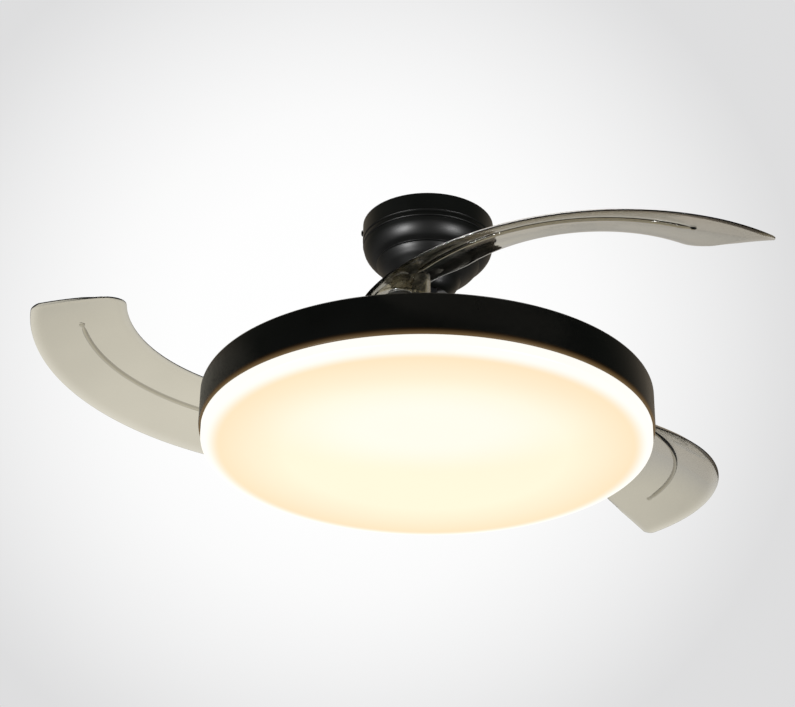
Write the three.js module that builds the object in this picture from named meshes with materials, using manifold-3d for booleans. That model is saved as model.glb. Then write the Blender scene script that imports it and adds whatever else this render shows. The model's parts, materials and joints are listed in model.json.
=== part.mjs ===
// A ceiling fan whose three clear blades fold in above a round lamp. Millimetres, +Z up.
// The origin is the middle of the ceiling plate's top face, where the fan is fastened.
// Heights on the fan itself are measured up from the lower edge of the lamp's black ring.
import * as THREE from 'three';
import { mergeVertices } from 'three/addons/utils/BufferGeometryUtils.js';
import Module from 'manifold-3d';

const wasm = await Module();
wasm.setup();

// ---- Driving dimensions -------------------------------------------------------------

const seat = 0.3; // clearance between pieces that touch
const fit = 0.3; // radial clearance of a pin, rod or screw in its hole
const fine = 48; // facets round the lamp
const medium = 24; // facets round the canopy and the motor
const coarse = 16; // facets round rods, bosses and bushes
const small = 8; // facets round pins and screws
const screwHeadRadius = 4;
const screwHeadHeight = 2.4;

const overlap = 0.5; // how far joined shapes of one piece run into each other
const reach = 30; // how far a cutting shape passes beyond what it cuts

const ceilingDrop = 273; // ceiling down to the lower edge of the lamp ring

// Lamp
const lampRadius = 250;
const ringHeight = 47;
const panWall = 1.5;
const panCorner = 4;
const lipHeight = 5; // rolled lower edge of the black ring
const lipInset = 1.2;
const diffuserWall = 2;
const diffuserSide = 9; // straight side that shows under the ring
const diffuserRound = 20; // width of the rounding between side and face
const diffuserRoundDepth = 6.5;
const diffuserDome = 1.5;
const domeShare = 0.55; // share of the radius and of the dome at the dome's middle point
const domeDrop = 0.7;
const diffuserCollar = 7; // part of the side hidden inside the ring
const boardWidth = 122;
const boardMargin = 22.5; // inside of the ring to the board's edge
const boardThickness = 1.6;
const ledCount = 12;
const ledSize = 7;
const ledHeight = 1.2;
const clipCount = 3;
const clipWidth = 22;
const clipLeaf = 1.2;
const clipHeight = 20;
const clipFoot = 7;
const clipTail = 2; // height of the leaf's lower end
const clipGap = 1.4; // lets the flat leaf lie against the round collar
const clipFootGap = 0.6;
const hubPlateRadius = 62;
const hubPlateThickness = 2;
const hubCollarRadius = 16;
const hubCollarHeight = 4.4;
const panScrewRadius = 2;
const panScrewCircle = 46;
const nutThickness = 7;
const nutRadius = 16;
const driverSize = [90, 38, 24];
const driverOffset = 70;
const casingFoot = 7; // length of the foot at each end of a casing
const casingLift = 2;
const receiverSize = [64, 30, 18];
const receiverOffset = -68;
const terminalSize = [34, 15, 12];
const terminalWays = 3;
const terminalWireHole = 2;
const terminalScrewHole = 1.5;
const terminalX = -56;

// Motor
const shaftRadius = 10;
const shaftBore = 6.5;
const shaftTail = 4; // shaft showing below its nut
const shaftCollarRadius = 13.5;
const shaftCollarHeight = 3.4;
const bearingRadius = 18;
const bearingWidth = 7;
const bearingGroove = 0.9;
const housingRadius = 80;
const housingWall = 3;
const flangeRadius = 90;
const flangeThickness = 3;
const housingHeight = 54; // inside height of the rotor housing
const bellChamfer = 6;
const bellInnerChamfer = 4;
const bellBoreClearance = 2;
const bearingBossWall = 4;
const bearingBossLip = 1; // boss showing past the bearing
const magnetThickness = 5;
const magnetHeight = 30;
const airGap = 1;
const coreHeight = 24;
const toothCount = 12;
const toothWidth = 11;
const toothTip = 5;
const tipSlope = 2;
const slotMouth = 4;
const coreYoke = 34; // radius of the solid middle of the stator
const coilOverhang = 8;
const coilSlope = 4;
const coilGap = 1.2; // insulation between the windings and the core
const ventCount = 6;
const ventLength = 24;
const ventWidth = 8;

// Blade carrier, which turns with the motor housing
const carrierThickness = 3;
const carrierClearance = 5; // top of the lamp pan to the carrier
const carrierHole = 66;
const armHalfWidth = 36;
const armWaist = 26; // half width of the arm's inner half
const armPad = 27;
const armOverlap = 6; // arm lying over the ring
const armBends = [62, 44, 30, 14]; // distances short of the hinge where the arm widens and narrows
const armShoulder = [8, 25.5]; // beyond the hinge and to the side
const windowStart = 104;
const windowEnd = 144;
const windowHalf = 13;
const rotorScrewCircle = 84;
const rotorScrewRadius = 2;

// Blade hinge
const bladeCount = 3;
const hingeRadius = 210; // fan axis to each hinge
const firstHinge = 142.6; // azimuth of hinge 1 in degrees
const openHeading = 6; // blade heading at the open stop, from straight outward
const foldedHeading = 96; // blade heading at the folded stop
const restHeading = [41, 35.9, 6]; // blade 1 and 2 part open, blade 3 at its open stop
const bossRadius = 30;
const bossWall = 3;
const bossBase = 58; // height of the underside of the boss
const bossHeight = 27.5;
const sleeveWall = 3;
const bossRibs = 4; // under the high side of the roof
const bossRibThickness = 2;
const bossRibLift = 11; // above the return spring
const bushRadius = 8;
const bushFlange = 14;
const pinRadius = 5;
const pinHeadRadius = 9;
const pinHeadHeight = 2.6;
const bladeNutHeight = 6;
const bladeNutRadius = 9;
const washerRadius = 12;
const washerThickness = 1.2;
const pinTail = 2; // pin showing above its nut
const springWire = 1; // radius of the spring's wire
const springTurns = 3;
const springPitch = 2.6;
const springSteps = 10; // facets round one turn
const lugReach = 8;
const lugHeight = 7;
const lugLift = 0.5;
const lugHalfWidth = 4;
const stopRadius = 4;
const stopHeight = 11;
const stopInset = 2.5; // lug reaching past the middle of the stops
const stopGap = 0.5;

// Blade
const bladeArc = 219; // plan radius of the blade's centre line
const bladeLength = 386; // along the centre line
const bladeThickness = 3;
const bladeRoot = 77.8; // height of the centre line at the hinge
const bladeRise = 15;
const roofRadius = 31; // round end of the plate, which roofs the boss
// The plate beside the hinge: distance along, half width outside and half width inside.
const shoulder = [
  [-7, 35.5, 30.5], [0, 41, 31.5], [24, 46, 39], [40, 49, 45], [56, 51, 48],
];
const skirtReach = 38; // the space under the roof, cut from a block this far each way
const rootPitch = 25;
const tipPitch = 17;
const rootCamber = 10.75; // fall of the surface at camberSpan beside the centre line
const tipCamber = 2.5;
const camberSpan = 50;
const tipCornerOuter = 7;
const tipCornerInner = 26;
const ribStart = 30;
const ribEnd = 338;
const ribRadius = 1.8;

// Hanger and canopy
const plateRadius = 58;
const plateThickness = 3;
const slotSpacing = 40;
const slotLength = 14;
const slotWidth = 6;
const wireHole = 12;
const wireHoleOffset = 26;
const ballRadius = 21;
const ballDrop = 42; // ceiling to the middle of the hanger ball
const ballCut = 15; // half height of the ball between its flats
const ballPlay = 0.8; // clearance of the faceted ball in its cradle
const cradleRadius = 34;
const cradleTop = 50;
const cradleBottom = 60;
const cradleHole = 14.5;
const cradleMouth = 25;
const legThickness = 3;
const legWidth = 26;
const keySize = 4;
const keyClearance = 1.2;
const keySlotTop = 2;
const earWidth = 18;
const earThickness = 2.5;
const earDrop = 16;
const earOverlap = 6;
const earAzimuth = 0;
const rodRadius = 11;
const rodBore = 9;
const rodTop = 27;
const crossPinRadius = 3;
const ballPinHalf = 17;
const couplerRadius = 16;
const couplerHeight = 41;
const couplerBase = 121;
const couplerWeb = 3;
const couplerPinInset = 9;
const couplerPinHalf = 18;
const coverWall = 1.8;
const coverTopRadius = 26;
const coverWaistRadius = 29;
const coverFootRadius = 40;
const coverFootHeight = 5;
const coverCorner = 3;
const coverBoreClearance = 0.7;
const coverFoot = 119.5;
const canopyRadius = 75.5;
const canopyWall = 1.5;
const canopyTop = -0.5;
const canopyFlange = 22;
// The canopy under its flange, in steps inward from its radius and down from the flange: two
// small steps, the bowl, a bead, the cup, a rounded tier and the neck.
const canopyOutside = [
  [1.1, 0.8], [1.1, 1.6], [0.4, 2.2], [0.4, 5.2], [1.5, 6.8], [1.5, 7.6], [0.8, 8.3],
  [2.4, 13], [4.8, 17.5], [7.8, 21.5], [11.3, 25], [15, 27.4],
  [17, 28.6], [16.6, 29.8], [17.2, 32.2], [18.9, 34.2],
  [20.9, 36.6], [23.8, 39.8], [28, 43.4], [32.6, 47.4], [36.2, 50.2],
  [37.8, 51.2], [39.4, 54.5], [41.2, 58], [43.6, 61.6], [45.9, 65.2], [47.4, 69], [48, 73],
];
const canopyInside = [
  [3.1, 0], [3.1, 7.6], [5.4, 14], [8.6, 19.2], [12.6, 23.6], [16, 26], [18.8, 28.4],
  [19.2, 31.4], [22.4, 36], [26.2, 40.2], [31.4, 44.6], [37.2, 49.4], [40, 52.4], [43, 58.4],
  [46, 62.8], [48.4, 66.6], [49.5, 73],
];
const canopyInsideStep = 3; // height of the slope behind the first step
const canopyScrewRadius = 2;
const canopyScrewHead = 4;
const canopyScrewHeadHeight = 1.8;
const canopyScrewLength = 8;
const canopyScrewDrop = 9;

// ---- Heights worked out from the above ----------------------------------------------

const carrierBase = ringHeight + carrierClearance;
const carrierTop = carrierBase + carrierThickness;
const coverBase = carrierTop + seat;
const lowerCoverTop = coverBase + flangeThickness;
const bellBase = lowerCoverTop + seat;
const bellTop = bellBase + housingHeight + housingWall;
const hubBase = ringHeight + seat;
const collarBase = hubBase + hubPlateThickness + hubCollarHeight + seat;
const lowerBearingBase = collarBase + shaftCollarHeight + seat;
const coreMiddle = (bellBase + bellTop - housingWall) / 2;
const upperBearingTop = bellTop - housingWall;
const shaftTop = couplerBase + (couplerHeight - couplerWeb) / 2 - seat;
const rodBottom = couplerBase + (couplerHeight + couplerWeb) / 2 + seat;
const shaftPinHeight = couplerBase + couplerPinInset;
const rodPinHeight = couplerBase + couplerHeight - couplerPinInset;
const panInner = lampRadius - panWall;
const boardOuter = panInner - boardMargin;
const boardInner = boardOuter - boardWidth;
const bossHead = bossBase + bossHeight;
const sleeveBore = bushRadius + fit / 2;
const springSeatRadius = sleeveBore + sleeveWall + springWire + seat;
const springCoilRadius = springSeatRadius / Math.cos(Math.PI / springSteps);
const stopCircle = bossRadius + lugReach - stopInset;
const statorRadius = housingRadius - housingWall - seat - magnetThickness - airGap;
const ballHeight = ceilingDrop - ballDrop;

// ---- Geometry helpers -----------------------------------------------------------------

const degrees = Math.PI / 180;

// A closed three.js geometry as a manifold-3d solid.
function toSolid(geometry) {
  const bare = geometry.index ? geometry.toNonIndexed() : geometry.clone();
  for (const name of Object.keys(bare.attributes)) {
    if (name !== 'position') bare.deleteAttribute(name);
  }
  const merged = mergeVertices(bare, 1e-4);
  const corners = merged.index.array;
  const triangles = [];
  for (let i = 0; i < corners.length; i += 3) {
    const [a, b, c] = [corners[i], corners[i + 1], corners[i + 2]];
    if (a !== b && b !== c && c !== a) triangles.push(a, b, c);
  }
  const vertProperties = Float32Array.from(merged.attributes.position.array);
  const triVerts = Uint32Array.from(triangles);
  return new wasm.Manifold(new wasm.Mesh({ numProp: 3, vertProperties, triVerts }));
}

function toGeometry(solid) {
  const mesh = solid.getMesh();
  const geometry = new THREE.BufferGeometry();
  geometry.setAttribute('position', new THREE.BufferAttribute(mesh.vertProperties, 3));
  geometry.setIndex(new THREE.BufferAttribute(mesh.triVerts, 1));
  geometry.computeVertexNormals();
  return geometry;
}

// A closed outline of [radius, height] points turned about Z.
function revolve(outline, segments) {
  const points = outline.map(([r, z]) => new THREE.Vector2(r, z));
  if (THREE.ShapeUtils.area(points) < 0) points.reverse();
  points.push(points[0].clone());
  const geometry = new THREE.LatheGeometry(points, segments);
  geometry.rotateX(Math.PI / 2);
  return toSolid(geometry);
}

function cylinder(radius, bottom, top, segments = coarse) {
  const geometry = new THREE.CylinderGeometry(radius, radius, top - bottom, segments);
  geometry.rotateX(Math.PI / 2);
  geometry.translate(0, 0, (top + bottom) / 2);
  return toSolid(geometry);
}

function tube(outer, inner, bottom, top, segments = coarse) {
  return revolve([[inner, bottom], [outer, bottom], [outer, top], [inner, top]], segments);
}

// A pin lying along X through the Z axis.
function crossPin(radius, halfLength, height) {
  const geometry = new THREE.CylinderGeometry(radius, radius, 2 * halfLength, small);
  geometry.rotateZ(Math.PI / 2);
  geometry.translate(0, 0, height);
  return toSolid(geometry);
}

function box(x, y, z) {
  const geometry = new THREE.BoxGeometry(x[1] - x[0], y[1] - y[0], z[1] - z[0]);
  geometry.translate((x[0] + x[1]) / 2, (y[0] + y[1]) / 2, (z[0] + z[1]) / 2);
  return toSolid(geometry);
}

function sphere(radius, height) {
  const geometry = new THREE.SphereGeometry(radius, 24, 12);
  geometry.rotateX(Math.PI / 2);
  geometry.translate(0, 0, height);
  return toSolid(geometry);
}

// Copies of a solid turned evenly about Z, as one solid.
function ringOf(solid, count, offset = 0) {
  const copies = [];
  for (let i = 0; i < count; i += 1) copies.push(solid.rotate([0, 0, offset + i * 360 / count]));
  return wasm.Manifold.union(copies);
}

function join(...solids) {
  return wasm.Manifold.union(solids);
}

// ---- Materials --------------------------------------------------------------------------

function material(color, roughness, metalness) {
  return new THREE.MeshStandardMaterial({ color, roughness, metalness });
}

const blackPaint = material(0x17181a, 0.42, 0.3);
const blackPlastic = material(0x1d1e20, 0.5, 0);
const steel = material(0xb4b7ba, 0.35, 0.9);
const darkSteel = material(0x55585c, 0.45, 0.85);
const laminate = material(0x6f7276, 0.5, 0.7);
const copper = material(0xb4632f, 0.35, 0.85);
const ferrite = material(0x2b2b2e, 0.7, 0.1);
const aluminium = material(0xc4c7ca, 0.4, 0.85);
const opal = material(0xfff3dc, 0.45, 0);
const clear = material(0xcfcabf, 0.12, 0);
const whiteBoard = material(0xf2f2ee, 0.5, 0);
const whitePlastic = material(0xe8e8e4, 0.5, 0);
const rubberBlack = material(0x222222, 0.85, 0);

// ---- Scene graph ------------------------------------------------------------------------

const fan = new THREE.Group();
const hanging = new THREE.Group();
hanging.position.z = -ceilingDrop;
fan.add(hanging);

function add(parent, name, solid, finish, turn = 0) {
  const mesh = new THREE.Mesh(toGeometry(solid), finish);
  mesh.name = name;
  mesh.rotation.z = turn * degrees;
  parent.add(mesh);
}

// ---- Ceiling side ---------------------------------------------------------------------

// Steel plate on the ceiling, with a cradle open on one side for the hanger ball.
function ceilingBracket() {
  const plate = cylinder(plateRadius, -plateThickness, 0, medium);
  const halfLength = slotLength / 2;
  const halfWidth = slotWidth / 2;
  const slotShape = [box([-halfLength, halfLength], [-halfWidth, halfWidth], [-reach, reach])];
  for (const end of [-1, 1]) {
    slotShape.push(cylinder(halfWidth, -reach, reach, small).translate([end * halfLength, 0, 0]));
  }
  const slot = join(...slotShape);
  const wires = cylinder(wireHole / 2, -reach, reach, small).translate([0, wireHoleOffset, 0]);
  const legs = [];
  const legOut = cradleRadius - 1;
  for (const side of [-1, 1]) {
    const y = [side * legOut, side * (legOut - legThickness)].sort((a, b) => a - b);
    legs.push(box([-legWidth / 2, legWidth / 2], y, [-cradleTop - 1, -plateThickness / 2]));
  }
  const ring = tube(cradleRadius, cradleHole, -cradleBottom, -cradleTop + 2, medium);
  const cup = sphere(ballRadius + ballPlay, -ballDrop);
  const mouth = box([0, cradleRadius + 1], [-cradleMouth / 2, cradleMouth / 2], [-70, -40]);
  const keyInner = ballRadius - keySize;
  const keyHeights = [-cradleTop - 2, -ballDrop - 4];
  const key = box([2 - cradleRadius, -keyInner], [-keySize / 2, keySize / 2], keyHeights);
  const ear = join(
    box([plateRadius - earOverlap, earOuter()], [-earWidth / 2, earWidth / 2], [-plateThickness, 0]),
    box([earOuter() - earThickness, earOuter()], [-earWidth / 2, earWidth / 2], [-earDrop, 0]),
  );
  const earHole = crossPin(canopyScrewRadius + fit, reach, -canopyScrewDrop);
  const drilled = ear.subtract(earHole.translate([earOuter(), 0, 0]));
  return plate
    .subtract(slot.translate([slotSpacing, 0, 0]))
    .subtract(slot.translate([-slotSpacing, 0, 0]))
    .subtract(wires)
    .add(join(...legs, ring.subtract(cup).subtract(mouth), key))
    .add(ringOf(drilled, 2, earAzimuth));
}

function earOuter() {
  const canopyFlat = (canopyRadius - canopyWall) * Math.cos(Math.PI / medium) - seat;
  return Math.sqrt(canopyFlat * canopyFlat - earWidth * earWidth / 4);
}

// Pressed sheet shell, turned from its outside and inside outlines.
function canopy() {
  const place = ([inset, drop]) => [canopyRadius - inset, -canopyFlange - drop];
  const inner = canopyRadius - canopyWall;
  const outside = [[canopyRadius, canopyTop], [canopyRadius, -canopyFlange]];
  const inside = [[inner, canopyTop], [inner, canopyInsideStep - canopyFlange]];
  outside.push(...canopyOutside.map(place));
  inside.push(...canopyInside.map(place));
  const shell = revolve([...outside, ...inside.reverse()], medium);
  const drill = crossPin(canopyScrewRadius + fit, 2 * canopyRadius, -canopyScrewDrop);
  return shell.subtract(drill.rotate([0, 0, earAzimuth]));
}

function canopyScrew() {
  const headAt = canopyRadius + seat;
  const half = canopyScrewHeadHeight / 2;
  const shank = crossPin(canopyScrewRadius, canopyScrewLength / 2, 0);
  const head = crossPin(canopyScrewHead, half, 0).translate([headAt + half, 0, 0]);
  return join(shank.translate([headAt + half - canopyScrewLength / 2, 0, 0]), head)
    .translate([0, 0, -canopyScrewDrop]);
}

function hangerBall() {
  const whole = sphere(ballRadius, 0);
  const slab = box([-reach, reach], [-reach, reach], [-ballCut, ballCut]);
  const bore = cylinder(rodRadius + fit, -reach, reach);
  const pinHole = crossPin(crossPinRadius + fit, ballPinHalf + seat, 0).rotate([0, 0, 90]);
  const slotHalf = keySize / 2 + keyClearance;
  const slotDepth = ballRadius - keySize - keyClearance;
  const keySlot = box([-reach, -slotDepth], [-slotHalf, slotHalf], [-reach, keySlotTop]);
  return whole.intersect(slab).subtract(bore).subtract(pinHole).subtract(keySlot);
}

add(fan, 'ceiling_bracket', ceilingBracket(), darkSteel);
add(fan, 'canopy', canopy(), blackPaint);
for (let i = 0; i < 2; i += 1) {
  add(fan, `canopy_screw_${i + 1}`, canopyScrew(), blackPaint, earAzimuth + i * 180);
}

// ---- Rod and coupling -------------------------------------------------------------------

function downrod() {
  const top = ceilingDrop - rodTop;
  const ballHole = crossPin(crossPinRadius + fit, reach, ballHeight).rotate([0, 0, 90]);
  return tube(rodRadius, rodBore, rodBottom, top)
    .subtract(ballHole)
    .subtract(crossPin(crossPinRadius + fit, reach, rodPinHeight));
}

// Cast collar that takes the rod from above and the motor shaft from below.
function coupler() {
  const middle = couplerBase + couplerHeight / 2;
  const top = couplerBase + couplerHeight;
  const body = cylinder(couplerRadius, couplerBase, top, coarse);
  const rodSocket = cylinder(rodRadius + fit, middle + couplerWeb / 2, top + 1);
  const shaftSocket = cylinder(shaftRadius + fit, couplerBase - 1, middle - couplerWeb / 2);
  const wires = cylinder(shaftBore, couplerBase, top);
  return body
    .subtract(rodSocket)
    .subtract(shaftSocket)
    .subtract(wires)
    .subtract(crossPin(crossPinRadius + fit, reach, rodPinHeight))
    .subtract(crossPin(crossPinRadius + fit, reach, shaftPinHeight));
}

// Cup over the coupling, resting on the coupler's top face.
function couplingCover() {
  const top = couplerBase + couplerHeight + seat;
  const bore = rodRadius + coverBoreClearance;
  const footInner = coverFootRadius - coverWall;
  const topInner = coverTopRadius - coverWall;
  const middle = (top + coverFoot) / 2;
  const outside = [
    [bore, top + coverWall], [coverTopRadius - coverCorner, top + coverWall],
    [coverTopRadius, top + coverWall - coverCorner], [coverWaistRadius, middle],
    [coverFootRadius, coverFoot + coverFootHeight], [coverFootRadius, coverFoot],
  ];
  const inside = [
    [footInner, coverFoot], [footInner, coverFoot + coverFootHeight - seat],
    [coverWaistRadius - coverWall, middle], [topInner, top - coverWall],
    [topInner - coverWall, top], [bore, top],
  ];
  return revolve([...outside, ...inside], medium);
}

const ballGroup = new THREE.Group();
ballGroup.position.z = ballHeight;
hanging.add(ballGroup);
add(ballGroup, 'hanger_ball', hangerBall(), blackPlastic);
add(ballGroup, 'ball_pin', crossPin(crossPinRadius, ballPinHalf, 0), steel, 90);
add(hanging, 'downrod', downrod(), darkSteel);
add(hanging, 'coupler', coupler(), darkSteel);
add(hanging, 'rod_pin', crossPin(crossPinRadius, couplerPinHalf, rodPinHeight), steel);
add(hanging, 'shaft_pin', crossPin(crossPinRadius, couplerPinHalf, shaftPinHeight), steel);
add(hanging, 'coupling_cover', couplingCover(), blackPlastic);

// ---- Motor --------------------------------------------------------------------------------

const nutBase = ringHeight - panWall - seat - nutThickness;

// Hollow fixed shaft with a collar under the lower bearing.
function motorShaft() {
  const bottom = nutBase - shaftTail;
  const outline = [
    [shaftBore, bottom], [shaftRadius, bottom], [shaftRadius, collarBase],
    [shaftCollarRadius, collarBase], [shaftCollarRadius, collarBase + shaftCollarHeight],
    [shaftRadius, collarBase + shaftCollarHeight], [shaftRadius, shaftTop], [shaftBore, shaftTop],
  ];
  return revolve(outline, coarse).subtract(crossPin(crossPinRadius + fit, reach, shaftPinHeight));
}

// Laminated core: a round yoke with teeth and pole tips, keyed to the shaft by a light press.
function statorCore() {
  const bottom = coreMiddle - coreHeight / 2;
  const top = coreMiddle + coreHeight / 2;
  const slotOuter = statorRadius - toothTip;
  const beyond = statorRadius + reach;
  const halfStep = Math.PI / toothCount;
  const inner = (coreYoke * Math.sin(halfStep) - toothWidth / 2) / Math.cos(halfStep);
  const outer = (slotOuter * Math.sin(halfStep) - toothWidth / 2) / Math.cos(halfStep);
  const slot = new THREE.Shape([
    new THREE.Vector2(coreYoke, -inner), new THREE.Vector2(slotOuter - tipSlope, -outer),
    new THREE.Vector2(slotOuter, -slotMouth / 2), new THREE.Vector2(beyond, -slotMouth / 2),
    new THREE.Vector2(beyond, slotMouth / 2), new THREE.Vector2(slotOuter, slotMouth / 2),
    new THREE.Vector2(slotOuter - tipSlope, outer), new THREE.Vector2(coreYoke, inner),
  ]);
  const cutter = new THREE.ExtrudeGeometry(slot, { depth: coreHeight + 2, bevelEnabled: false });
  cutter.translate(0, 0, bottom - 1);
  return tube(statorRadius, shaftRadius + seat, bottom, top, 2 * toothCount)
    .subtract(ringOf(toSolid(cutter), toothCount, 180 / toothCount));
}

// Windings joined into one former: end turns above and below, and a bar in each slot.
function statorWinding() {
  const half = coreHeight / 2 + seat;
  const inner = coreYoke + coilGap;
  const outer = statorRadius - toothTip - coilGap - tipSlope;
  const crown = (sign) => revolve([
    [inner, coreMiddle + sign * half], [outer, coreMiddle + sign * half],
    [outer - coilSlope, coreMiddle + sign * (half + coilOverhang)],
    [inner + coilSlope, coreMiddle + sign * (half + coilOverhang)],
  ], toothCount);
  const halfBar = coreYoke * Math.sin(Math.PI / toothCount) - toothWidth / 2 - coilGap;
  const bar = box([inner, outer], [-halfBar, halfBar], [coreMiddle - half - 1, coreMiddle + half + 1]);
  return join(crown(1), crown(-1), ringOf(bar, toothCount, 180 / toothCount));
}

// Cast housing that turns: wall, vented top and a boss for the upper bearing.
function motorBell() {
  const wallInner = housingRadius - housingWall;
  const bossInner = bearingRadius + fit;
  const bossOuter = bossInner + bearingBossWall;
  const bossLow = upperBearingTop - bearingWidth - bearingBossLip;
  const under = bellTop - housingWall;
  const bore = shaftRadius + bellBoreClearance;
  const shell = revolve([
    [flangeRadius, bellBase], [flangeRadius, bellBase + flangeThickness],
    [housingRadius, bellBase + flangeThickness], [housingRadius, bellTop - bellChamfer],
    [housingRadius - bellChamfer, bellTop], [bore, bellTop], [bore, under + seat],
    [bossInner, under + seat], [bossInner, bossLow], [bossOuter, bossLow], [bossOuter, under],
    [wallInner - bellInnerChamfer, under], [wallInner, under - bellInnerChamfer],
    [wallInner, bellBase],
  ], medium);
  const middle = (bossOuter + wallInner) / 2;
  const x = [middle - ventLength / 2, middle + ventLength / 2];
  const vent = box(x, [-ventWidth / 2, ventWidth / 2], [under - 2, bellTop + 2]);
  const screw = cylinder(rotorScrewRadius + fit, bellBase - 1, bellBase + flangeThickness + 1, small);
  return shell
    .subtract(ringOf(vent, ventCount))
    .subtract(ringOf(screw.translate([rotorScrewCircle, 0, 0]), bladeCount, firstHinge + 60));
}

function motorCover() {
  const bossInner = bearingRadius + fit;
  const bossOuter = bossInner + bearingBossWall;
  const bossHigh = lowerBearingBase + bearingWidth + bearingBossLip;
  const outline = [
    [bossInner, coverBase], [flangeRadius, coverBase], [flangeRadius, lowerCoverTop],
    [bossOuter, lowerCoverTop], [bossOuter, bossHigh], [bossInner, bossHigh],
  ];
  const screw = cylinder(rotorScrewRadius + fit, coverBase - 1, lowerCoverTop + 1, small);
  return revolve(outline, medium)
    .subtract(ringOf(screw.translate([rotorScrewCircle, 0, 0]), bladeCount, firstHinge + 60));
}

// Ball bearing as a shielded ring with recessed faces.
function bearing(bottom) {
  const inner = shaftRadius + fit;
  const top = bottom + bearingWidth;
  const middle = (inner + bearingRadius) / 2;
  const outline = [
    [inner, bottom], [middle, bottom + bearingGroove], [bearingRadius, bottom],
    [bearingRadius, top], [middle, top - bearingGroove], [inner, top],
  ];
  return revolve(outline, coarse);
}

function rotorScrew() {
  const headTop = carrierBase - seat;
  const head = cylinder(screwHeadRadius, headTop - screwHeadHeight, headTop, small);
  const shank = cylinder(rotorScrewRadius, headTop - 1, bellBase + flangeThickness, small);
  return join(head, shank).translate([rotorScrewCircle, 0, 0]);
}

add(hanging, 'motor_shaft', motorShaft(), steel);
add(hanging, 'stator_core', statorCore(), laminate);
add(hanging, 'stator_winding', statorWinding(), copper);
add(hanging, 'motor_bell', motorBell(), aluminium);
add(hanging, 'motor_cover', motorCover(), aluminium);
const magnetOuter = housingRadius - housingWall - seat;
const magnetBase = coreMiddle - magnetHeight / 2;
const magnet = tube(
  magnetOuter, magnetOuter - magnetThickness, magnetBase, magnetBase + magnetHeight, medium,
);
add(hanging, 'magnet_ring', magnet, ferrite);
add(hanging, 'lower_bearing', bearing(lowerBearingBase), steel);
add(hanging, 'upper_bearing', bearing(upperBearingTop - bearingWidth), steel);
for (let i = 0; i < bladeCount; i += 1) {
  add(hanging, `rotor_screw_${i + 1}`, rotorScrew(), steel, firstHinge + 60 + i * 360 / bladeCount);
}

// ---- Blade carrier and hinges ---------------------------------------------------------------

// Flat steel spider: a ring under the motor cover and an arm out to each hinge.
function bladeCarrier() {
  const disc = cylinder(flangeRadius, carrierBase, carrierTop, medium);
  const hole = cylinder(carrierHole, carrierBase - 1, carrierTop + 1, medium);
  const arm = new THREE.Shape();
  const root = carrierHole + armOverlap;
  const [widenFrom, widenMiddle, widenTo, narrowFrom] = armBends.map((short) => hingeRadius - short);
  const end = hingeRadius + armPad;
  const shoulder = [hingeRadius + armShoulder[0], armShoulder[1]];
  arm.moveTo(root, -armWaist);
  arm.lineTo(widenFrom, -armWaist);
  arm.quadraticCurveTo(widenMiddle, -armHalfWidth, widenTo, -armHalfWidth);
  arm.lineTo(narrowFrom, -armHalfWidth);
  arm.quadraticCurveTo(hingeRadius, -armHalfWidth, shoulder[0], -shoulder[1]);
  arm.quadraticCurveTo(end, -armPad / 2, end, 0);
  arm.quadraticCurveTo(end, armPad / 2, ...shoulder);
  arm.quadraticCurveTo(hingeRadius, armHalfWidth, narrowFrom, armHalfWidth);
  arm.lineTo(widenTo, armHalfWidth);
  arm.quadraticCurveTo(widenMiddle, armHalfWidth, widenFrom, armWaist);
  arm.lineTo(root, armWaist);
  arm.closePath();
  const settings = { depth: carrierThickness, bevelEnabled: false, curveSegments: 3 };
  const blank = new THREE.ExtrudeGeometry(arm, settings);
  blank.translate(0, 0, carrierBase);
  const lightening = new THREE.Shape();
  lightening.moveTo(windowStart, -windowHalf);
  lightening.lineTo(windowEnd, -windowHalf);
  lightening.lineTo(windowEnd, windowHalf);
  lightening.lineTo(windowStart, windowHalf);
  lightening.closePath();
  const window = new THREE.ExtrudeGeometry(lightening, { depth: 2 * reach, bevelEnabled: false });
  window.translate(0, 0, carrierBase - reach);
  const pinHole = cylinder(pinRadius + fit, carrierBase - 1, carrierTop + 1, small);
  const screwHole = cylinder(rotorScrewRadius + fit, carrierBase - 1, carrierTop + 1, small);
  const arms = ringOf(toSolid(blank).subtract(toSolid(window)), bladeCount, firstHinge);
  return disc.subtract(hole)
    .add(arms)
    .subtract(ringOf(pinHole.translate([hingeRadius, 0, 0]), bladeCount, firstHinge))
    .subtract(ringOf(screwHole.translate([rotorScrewCircle, 0, 0]), bladeCount, firstHinge + 60));
}

// The two rubber stops beside each hinge stand where the boss lug ends its travel.
function stopBearing(heading, side) {
  const touch = (stopRadius + lugHalfWidth + stopGap) / stopCircle / degrees;
  return heading + lugAngle + side * touch;
}

const lugAngle = 180 - (openHeading + foldedHeading) / 2;

function rubberStop(heading, side) {
  const angle = stopBearing(heading, side) * degrees;
  const post = cylinder(stopRadius, carrierTop + seat, carrierTop + stopHeight, small);
  return post.translate([
    hingeRadius + stopCircle * Math.cos(angle), stopCircle * Math.sin(angle), 0,
  ]);
}

// Shoulder bolt: head under the carrier, shank up through the bush.
function hingePin() {
  const headTop = carrierBase - seat;
  const head = cylinder(pinHeadRadius, headTop - pinHeadHeight, headTop, coarse);
  const shank = cylinder(pinRadius, headTop - 1, bossHead + bladeNutHeight + pinTail, small);
  return join(head, shank);
}

function hingeBush() {
  const bottom = carrierTop + seat;
  const flangeTop = bossBase - seat;
  const top = bossHead + seat;
  const inner = pinRadius + fit;
  return revolve([
    [inner, bottom], [bushFlange, bottom], [bushFlange, flangeTop], [bushRadius, flangeTop],
    [bushRadius, top], [inner, top],
  ], coarse);
}

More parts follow.
